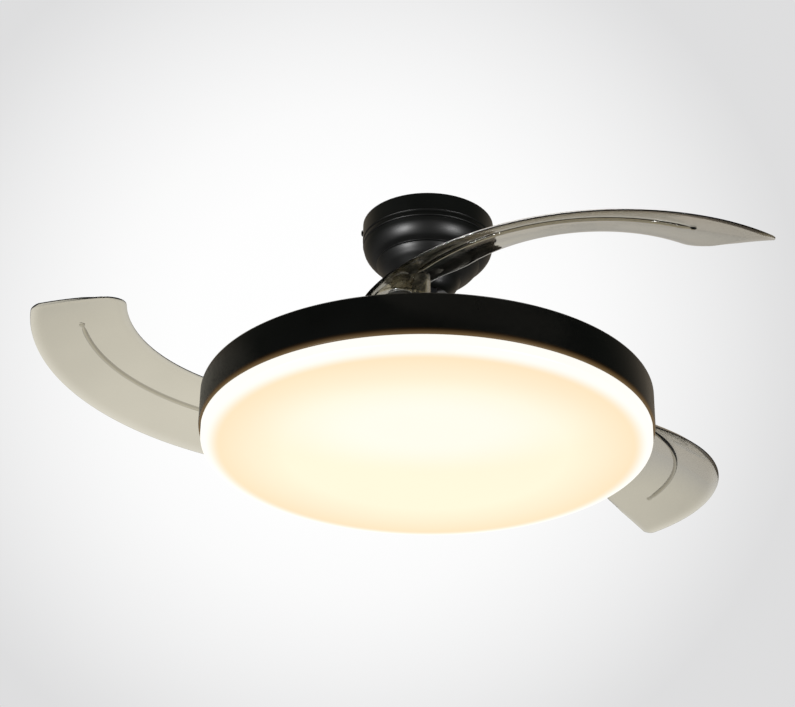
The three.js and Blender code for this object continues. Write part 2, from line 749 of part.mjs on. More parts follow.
function bladeNut() {
  const bottom = bossHead + 2 * seat;
  const hexagon = cylinder(bladeNutRadius, bottom, bottom + bladeNutHeight, 6);
  const washer = cylinder(washerRadius, bottom, bottom + washerThickness, coarse);
  const bore = cylinder(pinRadius + fit, bottom - reach, bottom + reach, small);
  return join(hexagon, washer).subtract(bore);
}

// Return spring: a helix round the boss sleeve, standing on the flange of the bush.
class HelixCurve extends THREE.Curve {
  getPoint(t) {
    const angle = t * springTurns * 2 * Math.PI;
    const height = t * springTurns * springPitch;
    const x = springCoilRadius * Math.cos(angle);
    return new THREE.Vector3(x, springCoilRadius * Math.sin(angle), height);
  }
}

function returnSpring() {
  const wire = new THREE.Shape();
  wire.absarc(0, 0, springWire, 0, 2 * Math.PI);
  const steps = springTurns * springSteps;
  const settings = { extrudePath: new HelixCurve(), steps, curveSegments: 2, bevelEnabled: false };
  const geometry = new THREE.ExtrudeGeometry(wire, settings);
  geometry.translate(0, 0, bossBase + springWire);
  return toSolid(geometry);
}

// ---- Blade ----------------------------------------------------------------------------------

// Height of the blade's middle surface above the ring's lower edge.
function bladeSurface(s, w) {
  const t = Math.max(0, s) / bladeLength;
  const pitch = THREE.MathUtils.lerp(rootPitch, tipPitch, t) * degrees;
  const camber = THREE.MathUtils.lerp(rootCamber, tipCamber, t) * (w / camberSpan) ** 2;
  return bladeRoot + bladeRise * (2 * t - t * t) + w * Math.tan(pitch) - camber;
}

// A point in plan: the hinge at 0,0 and the centre line leaving along X.
function planPoint(s, w) {
  const angle = s / bladeArc;
  return [(bladeArc - w) * Math.sin(angle), bladeArc - (bladeArc - w) * Math.cos(angle)];
}

// Rows across the plate as [along, half width outside, half width inside]: the round end over
// the boss, the shoulder, the even blade and the tip with its rounded corners.
function bladeRows() {
  const rows = [];
  for (const turn of [75, 50, 27]) {
    const back = roofRadius * Math.sin(turn * degrees);
    const half = roofRadius * Math.cos(turn * degrees);
    const sag = bladeArc - Math.sqrt(bladeArc * bladeArc - back * back);
    rows.push([-bladeArc * Math.asin(back / bladeArc), half - sag, half + sag]);
  }
  rows.push(...shoulder);
  const [from, outside, inside] = shoulder[shoulder.length - 1];
  const straight = bladeLength - tipCornerInner;
  for (let i = 1; i <= 8; i += 1) rows.push([from + (straight - from) * i / 8, outside, inside]);
  const rounded = (s, full, corner) => {
    const past = Math.max(0, s - bladeLength + corner);
    return full - corner + Math.sqrt(Math.max(0, corner * corner - past * past));
  };
  for (const turn of [35, 65, 90]) {
    const s = straight + tipCornerInner * Math.sin(turn * degrees);
    rows.push([s, rounded(s, outside, tipCornerOuter), rounded(s, inside, tipCornerInner)]);
  }
  return rows;
}

// Solid between two surfaces over the rows: a grid above and one below, closed round the edge.
function sheet(rows, above, below) {
  const across = [-1, -0.5, 0, 0.5, 1];
  const positions = [];
  for (const height of [above, below]) {
    for (const [s, outside, inside] of rows) {
      for (const v of across) {
        const w = v < 0 ? v * outside : v * inside;
        positions.push(...planPoint(s, w), height(s, w));
      }
    }
  }
  const columns = across.length;
  const layer = rows.length * columns;
  const index = [];
  const quad = (a, b, c, d) => index.push(a, b, c, a, c, d);
  for (let i = 0; i < rows.length - 1; i += 1) {
    for (let j = 0; j < columns - 1; j += 1) {
      const k = i * columns + j;
      quad(k, k + columns, k + columns + 1, k + 1);
      quad(layer + k, layer + k + 1, layer + k + columns + 1, layer + k + columns);
    }
    const low = i * columns;
    const high = low + columns - 1;
    quad(low, layer + low, layer + low + columns, low + columns);
    quad(high, high + columns, layer + high + columns, layer + high);
  }
  const last = (rows.length - 1) * columns;
  for (let j = 0; j < columns - 1; j += 1) {
    quad(j, j + 1, layer + j + 1, layer + j);
    quad(last + j, layer + last + j, layer + last + j + 1, last + j + 1);
  }
  const geometry = new THREE.BufferGeometry();
  geometry.setAttribute('position', new THREE.Float32BufferAttribute(positions, 3));
  geometry.setIndex(index);
  return toSolid(geometry);
}

// Cambered plate of even thickness.
function bladePlate() {
  const half = bladeThickness / 2;
  const above = (s, w) => bladeSurface(s, w) + half;
  const below = (s, w) => bladeSurface(s, w) - half;
  return sheet(bladeRows(), above, below);
}

// The stiffening rib follows the centre line under the plate.
class RibCurve extends THREE.Curve {
  getPoint(t) {
    const s = ribStart + (ribEnd - ribStart) * t;
    return new THREE.Vector3(...planPoint(s, 0), bladeSurface(s, 0) - bladeThickness / 2);
  }
}

function bladeRib() {
  const section = new THREE.Shape();
  section.absarc(0, 0, ribRadius, 0, 2 * Math.PI);
  const settings = { extrudePath: new RibCurve(), steps: 12, curveSegments: 2, bevelEnabled: false };
  return toSolid(new THREE.ExtrudeGeometry(section, settings));
}

// Everything under the plate's middle surface round the hinge.
function underRoof() {
  const rows = [-1, -0.5, 0, 0.5, 1].map((k) => [k * skirtReach, skirtReach, skirtReach]);
  return sheet(rows, bladeSurface, () => bossBase - reach);
}

// Round wall and ribs under the sloping plate, open below, with the stop lug.
function bladeBoss() {
  const inner = bossRadius - bossWall;
  const high = bossHead + reach;
  const halfRib = bossRibThickness / 2;
  const ribs = [];
  for (let i = 0; i < bossRibs; i += 1) {
    const rib = box(
      [sleeveBore + overlap, inner + overlap], [-halfRib, halfRib], [bossBase + bossRibLift, high],
    );
    ribs.push(rib.rotate([0, 0, i * 180 / (bossRibs - 1)]));
  }
  const lug = box(
    [bossRadius - bossWall / 2, bossRadius + lugReach], [-lugHalfWidth, lugHalfWidth],
    [bossBase + lugLift, bossBase + lugLift + lugHeight],
  );
  const wall = tube(bossRadius, inner, bossBase, high, medium);
  return join(join(wall, ...ribs).intersect(underRoof()), lug.rotate([0, 0, lugAngle]));
}

// The plate with its boss, and the sleeve for the bush standing through both.
function blade() {
  const core = cylinder(sleeveBore + overlap, bossBase - reach, bossHead + reach);
  const sleeve = tube(sleeveBore + sleeveWall, sleeveBore, bossBase, bossHead);
  return join(join(bladePlate(), bladeRib(), bladeBoss()).subtract(core), sleeve);
}

add(hanging, 'blade_carrier', bladeCarrier(), darkSteel);
const bladeSolid = blade();
for (let i = 0; i < bladeCount; i += 1) {
  const number = i + 1;
  const arm = new THREE.Group();
  arm.rotation.z = (firstHinge + i * 360 / bladeCount) * degrees;
  hanging.add(arm);
  add(arm, `open_stop_${number}`, rubberStop(openHeading, -1), rubberBlack);
  add(arm, `fold_stop_${number}`, rubberStop(foldedHeading, 1), rubberBlack);
  const hinge = new THREE.Group();
  hinge.position.x = hingeRadius;
  arm.add(hinge);
  add(hinge, `hinge_pin_${number}`, hingePin(), steel);
  add(hinge, `hinge_bush_${number}`, hingeBush(), steel);
  add(hinge, `blade_nut_${number}`, bladeNut(), steel);
  add(hinge, `return_spring_${number}`, returnSpring(), steel);
  add(hinge, `blade_${number}`, bladeSolid, clear, restHeading[i]);
}

// ---- Lamp -----------------------------------------------------------------------------------

// Spun pan: flat top, rounded shoulder, black side ring and a lower edge rolled slightly in.
function lampPan() {
  const outside = [];
  const centre = [lampRadius - panCorner, ringHeight - panCorner];
  for (let i = 0; i <= 3; i += 1) {
    const a = i / 3 * Math.PI / 2;
    outside.push([centre[0] + panCorner * Math.cos(a), centre[1] + panCorner * Math.sin(a)]);
  }
  const inner = panCorner - panWall;
  const inside = [[centre[0], centre[1] + inner], [centre[0] + inner, centre[1]]];
  const hole = shaftRadius + fit;
  const outline = [
    [lampRadius - lipInset - panWall, 0], [lampRadius - lipInset, 0], [lampRadius, lipHeight],
    ...outside, [hole, ringHeight], [hole, ringHeight - panWall], ...inside,
    [panInner, lipHeight],
  ];
  const screw = cylinder(panScrewRadius + fit, ringHeight - reach, ringHeight + reach, small);
  return revolve(outline, fine)
    .subtract(ringOf(screw.translate([panScrewCircle, 0, 0]), bladeCount));
}

function hubPlate() {
  const top = hubBase + hubPlateThickness;
  const bore = shaftRadius + fit;
  const outline = [
    [bore, hubBase], [hubPlateRadius, hubBase], [hubPlateRadius, top], [hubCollarRadius, top],
    [hubCollarRadius, top + hubCollarHeight], [bore, top + hubCollarHeight],
  ];
  const screw = cylinder(panScrewRadius + fit, hubBase - 1, top + 1, small);
  return revolve(outline, medium)
    .subtract(ringOf(screw.translate([panScrewCircle, 0, 0]), bladeCount));
}

function panScrew() {
  const headTop = ringHeight - panWall - seat;
  const head = cylinder(screwHeadRadius, headTop - screwHeadHeight, headTop, small);
  const shank = cylinder(panScrewRadius, headTop - 1, hubBase + hubPlateThickness + 1, small);
  return join(head, shank).translate([panScrewCircle, 0, 0]);
}

function shaftNut() {
  const hexagon = cylinder(nutRadius, nutBase, nutBase + nutThickness, 6);
  return hexagon.subtract(cylinder(shaftRadius + fit, nutBase - reach, nutBase + reach, coarse));
}

// White board with a ring of light-emitting chips on its lower face.
function ledBoard() {
  const top = ringHeight - panWall - seat;
  const bottom = top - boardThickness;
  const chip = ledSize / 2;
  const radius = (boardInner + boardOuter) / 2;
  const ledHeights = [bottom - ledHeight, bottom + overlap];
  const led = box([radius - chip, radius + chip], [-chip, chip], ledHeights);
  return join(tube(boardOuter, boardInner, bottom, top, fine), ringOf(led, ledCount));
}

function casing(size, x, y) {
  const top = ringHeight - panWall - seat;
  const [length, width, height] = size;
  const body = box(
    [x - length / 2, x + length / 2], [y - width / 2, y + width / 2], [top - height, top - casingLift],
  );
  const feet = box(
    [x - length / 2 - casingFoot, x + length / 2 + casingFoot], [y - width / 4, y + width / 4],
    [top - casingLift - overlap, top],
  );
  return join(body, feet);
}

function terminalBlock() {
  const top = ringHeight - panWall - seat;
  const [length, width, height] = terminalSize;
  const half = length / 2;
  const body = box([terminalX - width / 2, terminalX + width / 2], [-half, half], [top - height, top]);
  const step = length / terminalWays;
  const holes = [];
  for (let i = 0; i < terminalWays; i += 1) {
    const y = -half + step * (i + 0.5);
    holes.push(crossPin(terminalWireHole, width, top - height / 2).translate([terminalX, y, 0]));
    const driver = cylinder(terminalScrewHole, top - height - 1, top - height / 2, small);
    holes.push(driver.translate([terminalX, y, 0]));
  }
  return body.subtract(join(...holes));
}

// Opal cover: a collar inside the ring, a straight side, a rounding and a slightly domed face.
function diffuser() {
  const side = lampRadius - lipInset - panWall - seat;
  const section = (radius, inset, steps) => {
    const points = [[radius, diffuserCollar], [radius, -diffuserSide]];
    for (let i = 1; i <= steps; i += 1) {
      const a = i / steps * Math.PI / 2;
      const r = radius - diffuserRound * (1 - Math.cos(a));
      const drop = (diffuserRoundDepth - inset) * Math.sin(a);
      points.push([r, -diffuserSide - drop]);
    }
    const face = -diffuserSide - diffuserRoundDepth + inset;
    points.push([radius * domeShare, face - diffuserDome * domeDrop], [0, face - diffuserDome]);
    return points;
  };
  const outside = section(side, 0, 4);
  const inside = section(side - diffuserWall, diffuserWall, 2);
  return revolve([...outside, ...inside.reverse()], fine);
}

// Spring leaf riveted inside the ring, gripping the collar of the opal cover.
function diffuserClip() {
  const leafOuter = lampRadius - lipInset - panWall - seat - diffuserWall - seat;
  const half = clipWidth / 2;
  const x = [leafOuter - clipLeaf - clipGap, leafOuter - clipGap];
  const top = diffuserCollar + clipHeight;
  const leaf = box(x, [-half, half], [clipTail, top]);
  const footX = [leafOuter - clipGap - overlap, panInner - seat - clipFootGap];
  const foot = box(footX, [-half, half], [top - clipFoot, top]);
  return join(leaf, foot);
}

add(hanging, 'hub_plate', hubPlate(), darkSteel);
add(hanging, 'shaft_nut', shaftNut(), steel);
add(hanging, 'lamp_pan', lampPan(), blackPaint);
add(hanging, 'led_board', ledBoard(), whiteBoard);
add(hanging, 'led_driver', casing(driverSize, 0, driverOffset), whitePlastic);
add(hanging, 'remote_receiver', casing(receiverSize, 0, receiverOffset), blackPlastic);
add(hanging, 'terminal_block', terminalBlock(), whitePlastic);
add(hanging, 'diffuser', diffuser(), opal);
for (let i = 0; i < bladeCount; i += 1) {
  add(hanging, `pan_screw_${i + 1}`, panScrew(), steel, i * 360 / bladeCount);
}
for (let i = 0; i < clipCount; i += 1) {
  add(hanging, `diffuser_clip_${i + 1}`, diffuserClip(), steel, 90 + i * 360 / clipCount);
}

export default fan;
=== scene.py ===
"""Looks for a retractable blade ceiling fan: clear folding blades over a round opal lamp."""

import json
import math

import bmesh
import bpy
from mathutils import Matrix, Vector


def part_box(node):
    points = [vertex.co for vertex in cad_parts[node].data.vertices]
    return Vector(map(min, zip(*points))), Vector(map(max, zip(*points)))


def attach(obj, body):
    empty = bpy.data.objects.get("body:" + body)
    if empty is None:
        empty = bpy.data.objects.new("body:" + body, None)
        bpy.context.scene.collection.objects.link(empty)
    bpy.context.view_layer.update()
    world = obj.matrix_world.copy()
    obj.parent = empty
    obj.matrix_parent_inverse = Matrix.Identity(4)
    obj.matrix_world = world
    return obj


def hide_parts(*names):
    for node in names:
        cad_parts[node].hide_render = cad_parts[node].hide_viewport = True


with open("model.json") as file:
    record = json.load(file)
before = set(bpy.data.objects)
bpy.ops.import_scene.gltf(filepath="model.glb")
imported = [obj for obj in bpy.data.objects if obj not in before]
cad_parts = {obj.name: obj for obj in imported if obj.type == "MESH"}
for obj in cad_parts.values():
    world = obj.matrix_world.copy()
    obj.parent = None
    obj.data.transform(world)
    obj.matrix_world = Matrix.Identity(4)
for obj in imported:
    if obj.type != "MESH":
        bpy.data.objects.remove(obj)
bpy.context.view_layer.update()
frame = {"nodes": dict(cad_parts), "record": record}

bl_info = {
    "name": "Retractable blade ceiling fan",
    "version": (1, 0, 0),
    "blender": (4, 5, 0),
    "location": "View3D > Sidebar > Ceiling fan",
    "description": "Builds the pieces and finishes of a ceiling fan with folding clear blades",
    "category": "Add Mesh",
}

MM = 0.001
PAN_LOW, PAN_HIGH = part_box("lamp_pan")
DROP = PAN_LOW.z / MM  # height of the lamp ring's lower edge, in millimetres
SLOT_OF = {part["node"]: part["material_slot"] for part in frame["record"]["subparts"]}
BODY_OF = {
    node: body
    for body, nodes in frame["record"]["behaviour"]["bodies"].items()
    for node in nodes
}
FIRST_HINGE = 142.6  # azimuth of the first blade hinge, in degrees
REST_HEADINGS = (41.0, 35.9, 6.0)  # heading of each blade from straight outward
OPEN_HEADING, FOLD_HEADING = 6, 96  # heading of a blade at its open stop and at its fold stop
HINGE_RADIUS = 210  # distance of the hinges from the fan's axis, in millimetres
LUG_ANGLE = 129.0  # azimuth of the boss's stop lug from the blade's heading
CANOPY_RADIUS, CANOPY_SCREW = 75.5, -9  # the canopy's radius and its screws' height
NOISE_LOW, NOISE_HIGH = 0.3, 0.7  # most values of a noise lie between these
BANDS_PER_METRE = 0.314  # scale at which a wave texture has one band to the metre
CAMERA_YAW, CAMERA_PITCH, CAMERA_ROLL = -0.992, 24.94 + 2.573, 0.907  # in degrees
CAMERA_BACK, CAMERA_BELOW = 1.9168, 0.8915  # metres in front of the axis and below the ring
LENS, SENSOR = 87.1, 36  # in millimetres
BRIGHT_ASIDE = -1.53  # where the ground is brightest, in degrees beside the camera's aim


# ---- Sizes and colours ----


def length(label, text, millimetres):
    """A property that holds a length."""
    return bpy.props.FloatProperty(
        name=label, description=text, default=millimetres * MM, unit="LENGTH"
    )


def power(label, text, watts):
    """A property that holds a lamp's power."""
    return bpy.props.FloatProperty(name=label, description=text, default=watts, unit="POWER")


def colour(label, text, value):
    """A property that holds a colour."""
    return bpy.props.FloatVectorProperty(
        name=label, description=text, default=value, subtype="COLOR", size=3, min=0, max=1
    )


class FanLampSettings(bpy.types.PropertyGroup):
    """Sizes of the lamp."""

    radius: length("Lamp radius", "Outside radius of the black ring", PAN_HIGH.x / MM)
    height: length("Ring height", "Height of the black ring", (PAN_HIGH.z - PAN_LOW.z) / MM)
    shoulder: length("Shoulder", "Rounding between the ring and its flat top", 4)
    lip: length("Lip height", "Height of the lower edge that is rolled in", 5)
    wall: length("Wall", "Thickness of the pressed sheet", 1.5)
    opal_wall: length("Opal wall", "Thickness of the opal cover", 2)
    opal_round: length("Opal rounding", "Width of the rounding of the opal cover", 20)


class FanBladeSettings(bpy.types.PropertyGroup):
    """Sizes of one blade."""

    arc: length("Arc radius", "Radius of the blade's centre line seen from above", 219)
    reach: length("Length", "Length along the centre line", 386)
    thickness: length("Thickness", "Thickness of the clear plate", 2.8)
    rise: length("Rise", "How far the centre line climbs to the tip", 15)
    boss: length("Boss radius", "Radius of the round boss on the hinge", 30)


class FanFinishSettings(bpy.types.PropertyGroup):
    """Colours of the finishes."""

    black: colour("Black paint", "Satin paint of the ring and the canopy", (0.0018, 0.0019, 0.0017))
    plastic: colour("Black moulding", "Matt moulding of the coupling cover", (0.012, 0.012, 0.013))
    blade: colour("Clear blade", "Tint of the clear plastic", (0.785, 0.755, 0.66))
    opal: colour("Opal face", "Lit colour of the opal cover's face", (1.0, 0.90, 0.68))
    steel: colour("Steel", "Plated steel of pins, nuts and springs", (0.50, 0.51, 0.53))
    coated: colour("Coated steel", "Dark coating of the carrier and the rod", (0.05, 0.052, 0.056))
    cast: colour("Cast metal", "Cast housing of the motor", (0.56, 0.57, 0.58))


class FanStudioSettings(bpy.types.PropertyGroup):
    """The plain studio round the fan."""

    floor_drop: length("Floor drop", "Distance from the ceiling plate down to the floor", 4000)
    side_power: power("Side lamps", "Power of the left lamp; the right one is weaker", 60)
    top_power: power("Upper lamp", "Power of the lamp above and behind", 16)
    air: bpy.props.FloatProperty(
        name="Air light", description="Strength of the light from all round", default=0.4, min=0
    )


# ---- Modelling helpers ----


def mode(name):
    """Switch to edit mode or object mode."""
    bpy.ops.object.mode_set(mode=name)


def clear_selection():
    """Leave nothing selected and object mode on."""
    if bpy.context.object and bpy.context.object.mode != "OBJECT":
        mode("OBJECT")
    bpy.ops.object.select_all(action="DESELECT")


def activate(piece):
    """Make one piece the selected and active one."""
    clear_selection()
    piece.select_set(True)
    bpy.context.view_layer.objects.active = piece


def wire_outline(name, points, close=True):
    """A loop of edges through points, drawn vertex by vertex, left in edit mode."""
    clear_selection()
    bpy.ops.mesh.primitive_plane_add(size=MM, location=(0, 0, 0))
    piece = bpy.context.object
    piece.name = name
    piece.data.name = name
    mode("EDIT")
    mesh = bmesh.from_edit_mesh(piece.data)
    mesh.verts.ensure_lookup_table()
    mesh.verts[0].co = points[0]
    for vertex in list(mesh.verts)[1:]:
        mesh.verts.remove(vertex)
    mesh.verts.ensure_lookup_table()
    mesh.verts[0].select_set(True)
    bmesh.update_edit_mesh(piece.data)
    for before, after in zip(points, points[1:]):
        bpy.ops.mesh.extrude_region_move(TRANSFORM_OT_translate={"value": after - before})
    if close:
        mesh = bmesh.from_edit_mesh(piece.data)
        mesh.verts.ensure_lookup_table()
        mesh.verts[0].select_set(True)
        bmesh.update_edit_mesh(piece.data)
        bpy.ops.mesh.edge_face_add()
    bpy.ops.mesh.select_all(action="SELECT")
    return piece


def outward():
    """Turn the normals of the mesh in edit mode outward and go back to object mode."""
    bpy.ops.mesh.select_all(action="SELECT")
    bpy.ops.mesh.normals_make_consistent(inside=False)
    mode("OBJECT")


def lathe(name, outline, lift=0.0, steps=96, close=True):
    """A closed outline of (radius, height) in millimetres, spun about the Z axis."""
    points = [Vector((r * MM, 0, (z + lift) * MM)) for r, z in outline]
    piece = wire_outline(name, points, close)
    bpy.ops.mesh.spin(steps=steps, angle=2 * math.pi, center=(0, 0, 0), axis=(0, 0, 1))
    bpy.ops.mesh.select_all(action="SELECT")
    bpy.ops.mesh.remove_doubles(threshold=2e-6)
    outward()
    return piece


def slab(name, outline, bottom, top):
    """A flat outline of (x, y) in millimetres, filled and extruded upward."""
    piece = wire_outline(name, [Vector((x * MM, y * MM, bottom * MM)) for x, y in outline])
    bpy.ops.mesh.edge_face_add()
    bpy.ops.mesh.extrude_region_move(
        TRANSFORM_OT_translate={"value": (0, 0, (top - bottom) * MM)}
    )
    outward()
    return piece


def block(name, x, y, z):
    """A box between two limits on each axis, in millimetres."""
    outline = [(x[0], y[0]), (x[1], y[0]), (x[1], y[1]), (x[0], y[1])]
    return slab(name, outline, *z)


def rod(name, radius, bottom, top, steps=48):
    """A solid round bar standing on the XY plane, in millimetres."""
    clear_selection()
    bpy.ops.mesh.primitive_cylinder_add(
        vertices=steps, radius=radius * MM, depth=(top - bottom) * MM,
        location=(0, 0, (top + bottom) / 2 * MM),
    )
    piece = bpy.context.object
    piece.name = name
    place(piece)
    return piece


def wire(name, points, radius, rounding, shares=None):
    """Round wire through points, capped at both ends, with a share of its radius at each."""
    clear_selection()
    bpy.ops.curve.primitive_nurbs_path_add(location=(0, 0, 0))
    path = bpy.context.object
    path.name = name
    path.data.splines.clear()
    run = path.data.splines.new("POLY")
    run.points.add(len(points) - 1)
    for spot, point, share in zip(run.points, points, shares or [1.0] * len(points)):
        spot.co, spot.radius = (*point, 1), share
    path.data.dimensions = "3D"
    path.data.bevel_depth = radius * MM
    path.data.bevel_resolution = rounding
    path.data.use_fill_caps = True
    activate(path)
    bpy.ops.object.convert(target="MESH")
    return bpy.context.object


def place(piece, matrix=None):
    """Put a piece's place into its mesh and leave its object at the origin."""
    piece.data.transform(piece.matrix_world if matrix is None else matrix)
    piece.matrix_world = Matrix.Identity(4)
    piece.data.update()


def apply(piece, kind, **values):
    """Add one modifier with its settings and apply it."""
    activate(piece)
    modifier = piece.modifiers.new(kind.title(), kind)
    for key, value in values.items():
        setattr(modifier, key, value)
    bpy.ops.object.modifier_apply(modifier=modifier.name)


def soften(piece, width, segments=3, angle=35):
    """Round the sharp edges of a piece."""
    apply(
        piece, "BEVEL", width=width * MM, segments=segments, limit_method="ANGLE",
        angle_limit=math.radians(angle), use_clamp_overlap=True,
    )


def combine(piece, other, operation="UNION"):
    """Join another closed mesh to a piece, or cut it out of the piece."""
    apply(piece, "BOOLEAN", object=other, operation=operation, solver="EXACT")
    bpy.data.objects.remove(other)


def cut(piece, tool, matrix=None):
    """Put a closed mesh in its place and cut it out of a piece."""
    place(tool, matrix)
    combine(piece, tool, "DIFFERENCE")


def smooth(piece, angle=30):
    """Shade smoothly apart from sharp edges."""
    activate(piece)
    bpy.ops.object.shade_smooth_by_angle(angle=math.radians(angle))


def copy_of(piece, name, matrix):
    """A copy with a mesh of its own, moved in its mesh."""
    twin = piece.copy()
    twin.data = piece.data.copy()
    twin.name = name
    twin.data.name = name
    bpy.context.scene.collection.objects.link(twin)
    twin.data.transform(matrix)
    return twin


def turn(angle, axis="Z"):
    """A rotation matrix about one axis, in degrees."""
    return Matrix.Rotation(math.radians(angle), 4, axis)


def shift(x=0.0, y=0.0, z=0.0):
    """A translation matrix, in millimetres."""
    return Matrix.Translation((x * MM, y * MM, z * MM))


def arm_turn(i):
    """The turn from the X axis to one of the carrier's arms."""
    return turn(FIRST_HINGE + 120 * i)


def stand_for(piece, node, finish):
    """Let a finished piece take the place of a CAD node, with its body and slot."""
    piece.data.materials.clear()
    piece.data.materials.append(finish)
    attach(piece, BODY_OF[node])
    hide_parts(node)


def stand_copies(master, matrices, finish, name="{}_turned"):
    """Stand a moved copy of a piece in for each CAD node, and remove the piece."""
    for solid, matrix in matrices.items():
        stand_for(copy_of(master, name.format(solid), matrix), solid, finish)
    bpy.data.objects.remove(master)


def mix(first, second, share):
    """A value part of the way from one to another."""
    return first + (second - first) * share


def arc(centre, radii, start, end, steps):
    """Points (radius, height) along part of an ellipse."""
    angles = [math.radians(start + (end - start) * i / steps) for i in range(steps + 1)]
    return [
        (centre[0] + radii[0] * math.cos(a), centre[1] + radii[1] * math.sin(a)) for a in angles
    ]


def curve_through(points, steps=6):
    """A smooth run of points through the given ones."""
    smooth_points = [points[0]]
    for i in range(len(points) - 1):
        p0, p1 = points[max(0, i - 1)], points[i]
        p2, p3 = points[i + 1], points[min(len(points) - 1, i + 2)]
        for k in range(1, steps + 1):
            t = k / steps
            smooth_points.append(tuple(
                0.5 * (2 * b + (c - a) * t + (2 * a - 5 * b + 4 * c - d) * t * t
                       + (3 * b - a - 3 * c + d) * t ** 3)
                for a, b, c, d in zip(p0, p1, p2, p3)
            ))
    return smooth_points


# ---- Finishes ----


def new_finish(name):
    """A material, its shader and its tree, or the material alone if it was made before."""
    finish = bpy.data.materials.get(name)
    if finish:
        return finish, None, None
    finish = bpy.data.materials.new(name)
    finish.use_nodes = True
    nodes = finish.node_tree.nodes
    return finish, nodes["Principled BSDF"], finish.node_tree


def dial(made, **values):
    """Set inputs of a node by name, with _ for a space, or link them to other sockets."""
    for key, value in values.items():
        socket = made.inputs[key.replace("_", " ")]
        if isinstance(value, bpy.types.NodeSocket):
            made.id_data.links.new(value, socket)
        else:
            socket.default_value = value


def node(tree, kind, **values):
    """Add a node; keys with a capital are its inputs and the others its settings."""
    made = tree.nodes.new(kind)
    for key, value in values.items():
        if key[0].isupper():
            dial(made, **{key: value})
        else:
            setattr(made, key, value)
    return made


def object_place(tree):
    """The Object coordinates."""
    return node(tree, "ShaderNodeTexCoord").outputs["Object"]


def object_noise(tree, scale, detail, roughness=0.5, stretch=(1, 1, 1)):
    """Noise on Object coordinates, stretched along the axes."""
    mapping = node(tree, "ShaderNodeMapping", Vector=object_place(tree), Scale=stretch)
    return node(
        tree, "ShaderNodeTexNoise", Vector=mapping.outputs["Vector"], Scale=scale, Detail=detail,
        Roughness=roughness,
    ).outputs["Fac"]


def spread(tree, source, low, high):
    """Map a noise onto a range."""
    return node(
        tree, "ShaderNodeMapRange", Value=source, From_Min=NOISE_LOW, From_Max=NOISE_HIGH,
        To_Min=low, To_Max=high,
    ).outputs["Result"]


def ramp(tree, source, stops):
    """A ramp through (position, colour) stops."""
    made = node(tree, "ShaderNodeValToRGB", Fac=source)
    elements = made.color_ramp.elements
    for element, (position, shade) in zip(elements, (stops[0], stops[-1])):
        element.position, element.color = position, (*shade, 1)
    for position, shade in stops[1:-1]:
        elements.new(position).color = (*shade, 1)
    return made.outputs["Color"]


def two_tone(tree, source, dark, light):
    """A ramp between two colours."""
    return ramp(tree, source, ((NOISE_LOW, dark), (NOISE_HIGH, light)))


def between_limits(tree, source, low, high):
    """A share that rises smoothly from 0 at one value to 1 at another."""
    return node(
        tree, "ShaderNodeMapRange", interpolation_type="SMOOTHSTEP", Value=source, From_Min=low,
        From_Max=high,
    ).outputs["Result"]


def blended(tree, share, under, over):
    """A plain colour laid over another by a share."""
    made = node(tree, "ShaderNodeMix", data_type="RGBA", Factor=share)
    tree.links.new(under, made.inputs[6])
    made.inputs[7].default_value = (*over, 1)
    return made.outputs[2]


def distance_from(tree, centre, radii):
    """Distance from an upright axis at centre, as a share of its radii."""
    flat = node(
        tree, "ShaderNodeMapping", Vector=object_place(tree),
        Scale=(1 / radii[0], 1 / radii[1], 0),
        Location=(-centre[0] / radii[0], -centre[1] / radii[1], 0),
    )
    size = node(tree, "ShaderNodeVectorMath", operation="LENGTH", Vector=flat.outputs["Vector"])
    return size.outputs["Value"]


def raised(tree, shader, source, depth):
    """Bump from a height, in millimetres."""
    bump = node(tree, "ShaderNodeBump", Distance=depth * MM, Height=source)
    dial(shader, Normal=bump.outputs["Normal"])


def shades(value, amount):
    """A darker and a lighter form of a colour."""
    return tuple(v * (1 - amount) for v in value), tuple(min(1, v * (1 + amount)) for v in value)


def painted(name, value, rough, specular, grain=900, peel=0.02, vary=0.18):
    """Sprayed paint with a fine orange peel and slightly uneven gloss."""
    finish, shader, tree = new_finish(name)
    if shader:
        cloud = object_noise(tree, 14, 3)
        dial(
            shader, Specular_IOR_Level=specular,
            Base_Color=two_tone(tree, cloud, *shades(value, vary)),
            Roughness=spread(tree, cloud, rough * 0.85, rough * 1.15),
        )
        raised(tree, shader, object_noise(tree, grain, 3), peel)
    return finish


def metal(name, value, rough, stretch, grain=260, scratch=0.01):
    """Bare or plated metal with fine tool marks."""
    finish, shader, tree = new_finish(name)
    if shader:
        marks = object_noise(tree, grain, 5, 0.6, stretch)
        dial(
            shader, Metallic=1.0,
            Base_Color=two_tone(tree, object_noise(tree, 30, 3), *shades(value, 0.12)),
            Roughness=spread(tree, marks, rough * 0.75, rough * 1.3),
        )
        raised(tree, shader, marks, scratch)
    return finish


def banded(name, value, metallic, rough, pitch):
    """Fine even bands one above the other, as stacked sheet or wound wire."""
    finish, shader, tree = new_finish(name)
    if shader:
        wave = node(
            tree, "ShaderNodeTexWave", bands_direction="Z", Vector=object_place(tree),
            Scale=BANDS_PER_METRE / (pitch * MM), Distortion=0.4, Detail=2.0,
        ).outputs["Fac"]
        dial(
            shader, Metallic=metallic, Roughness=rough,
            Base_Color=two_tone(tree, wave, *shades(value, 0.25)),
        )
        raised(tree, shader, wave, 0.08)
    return finish


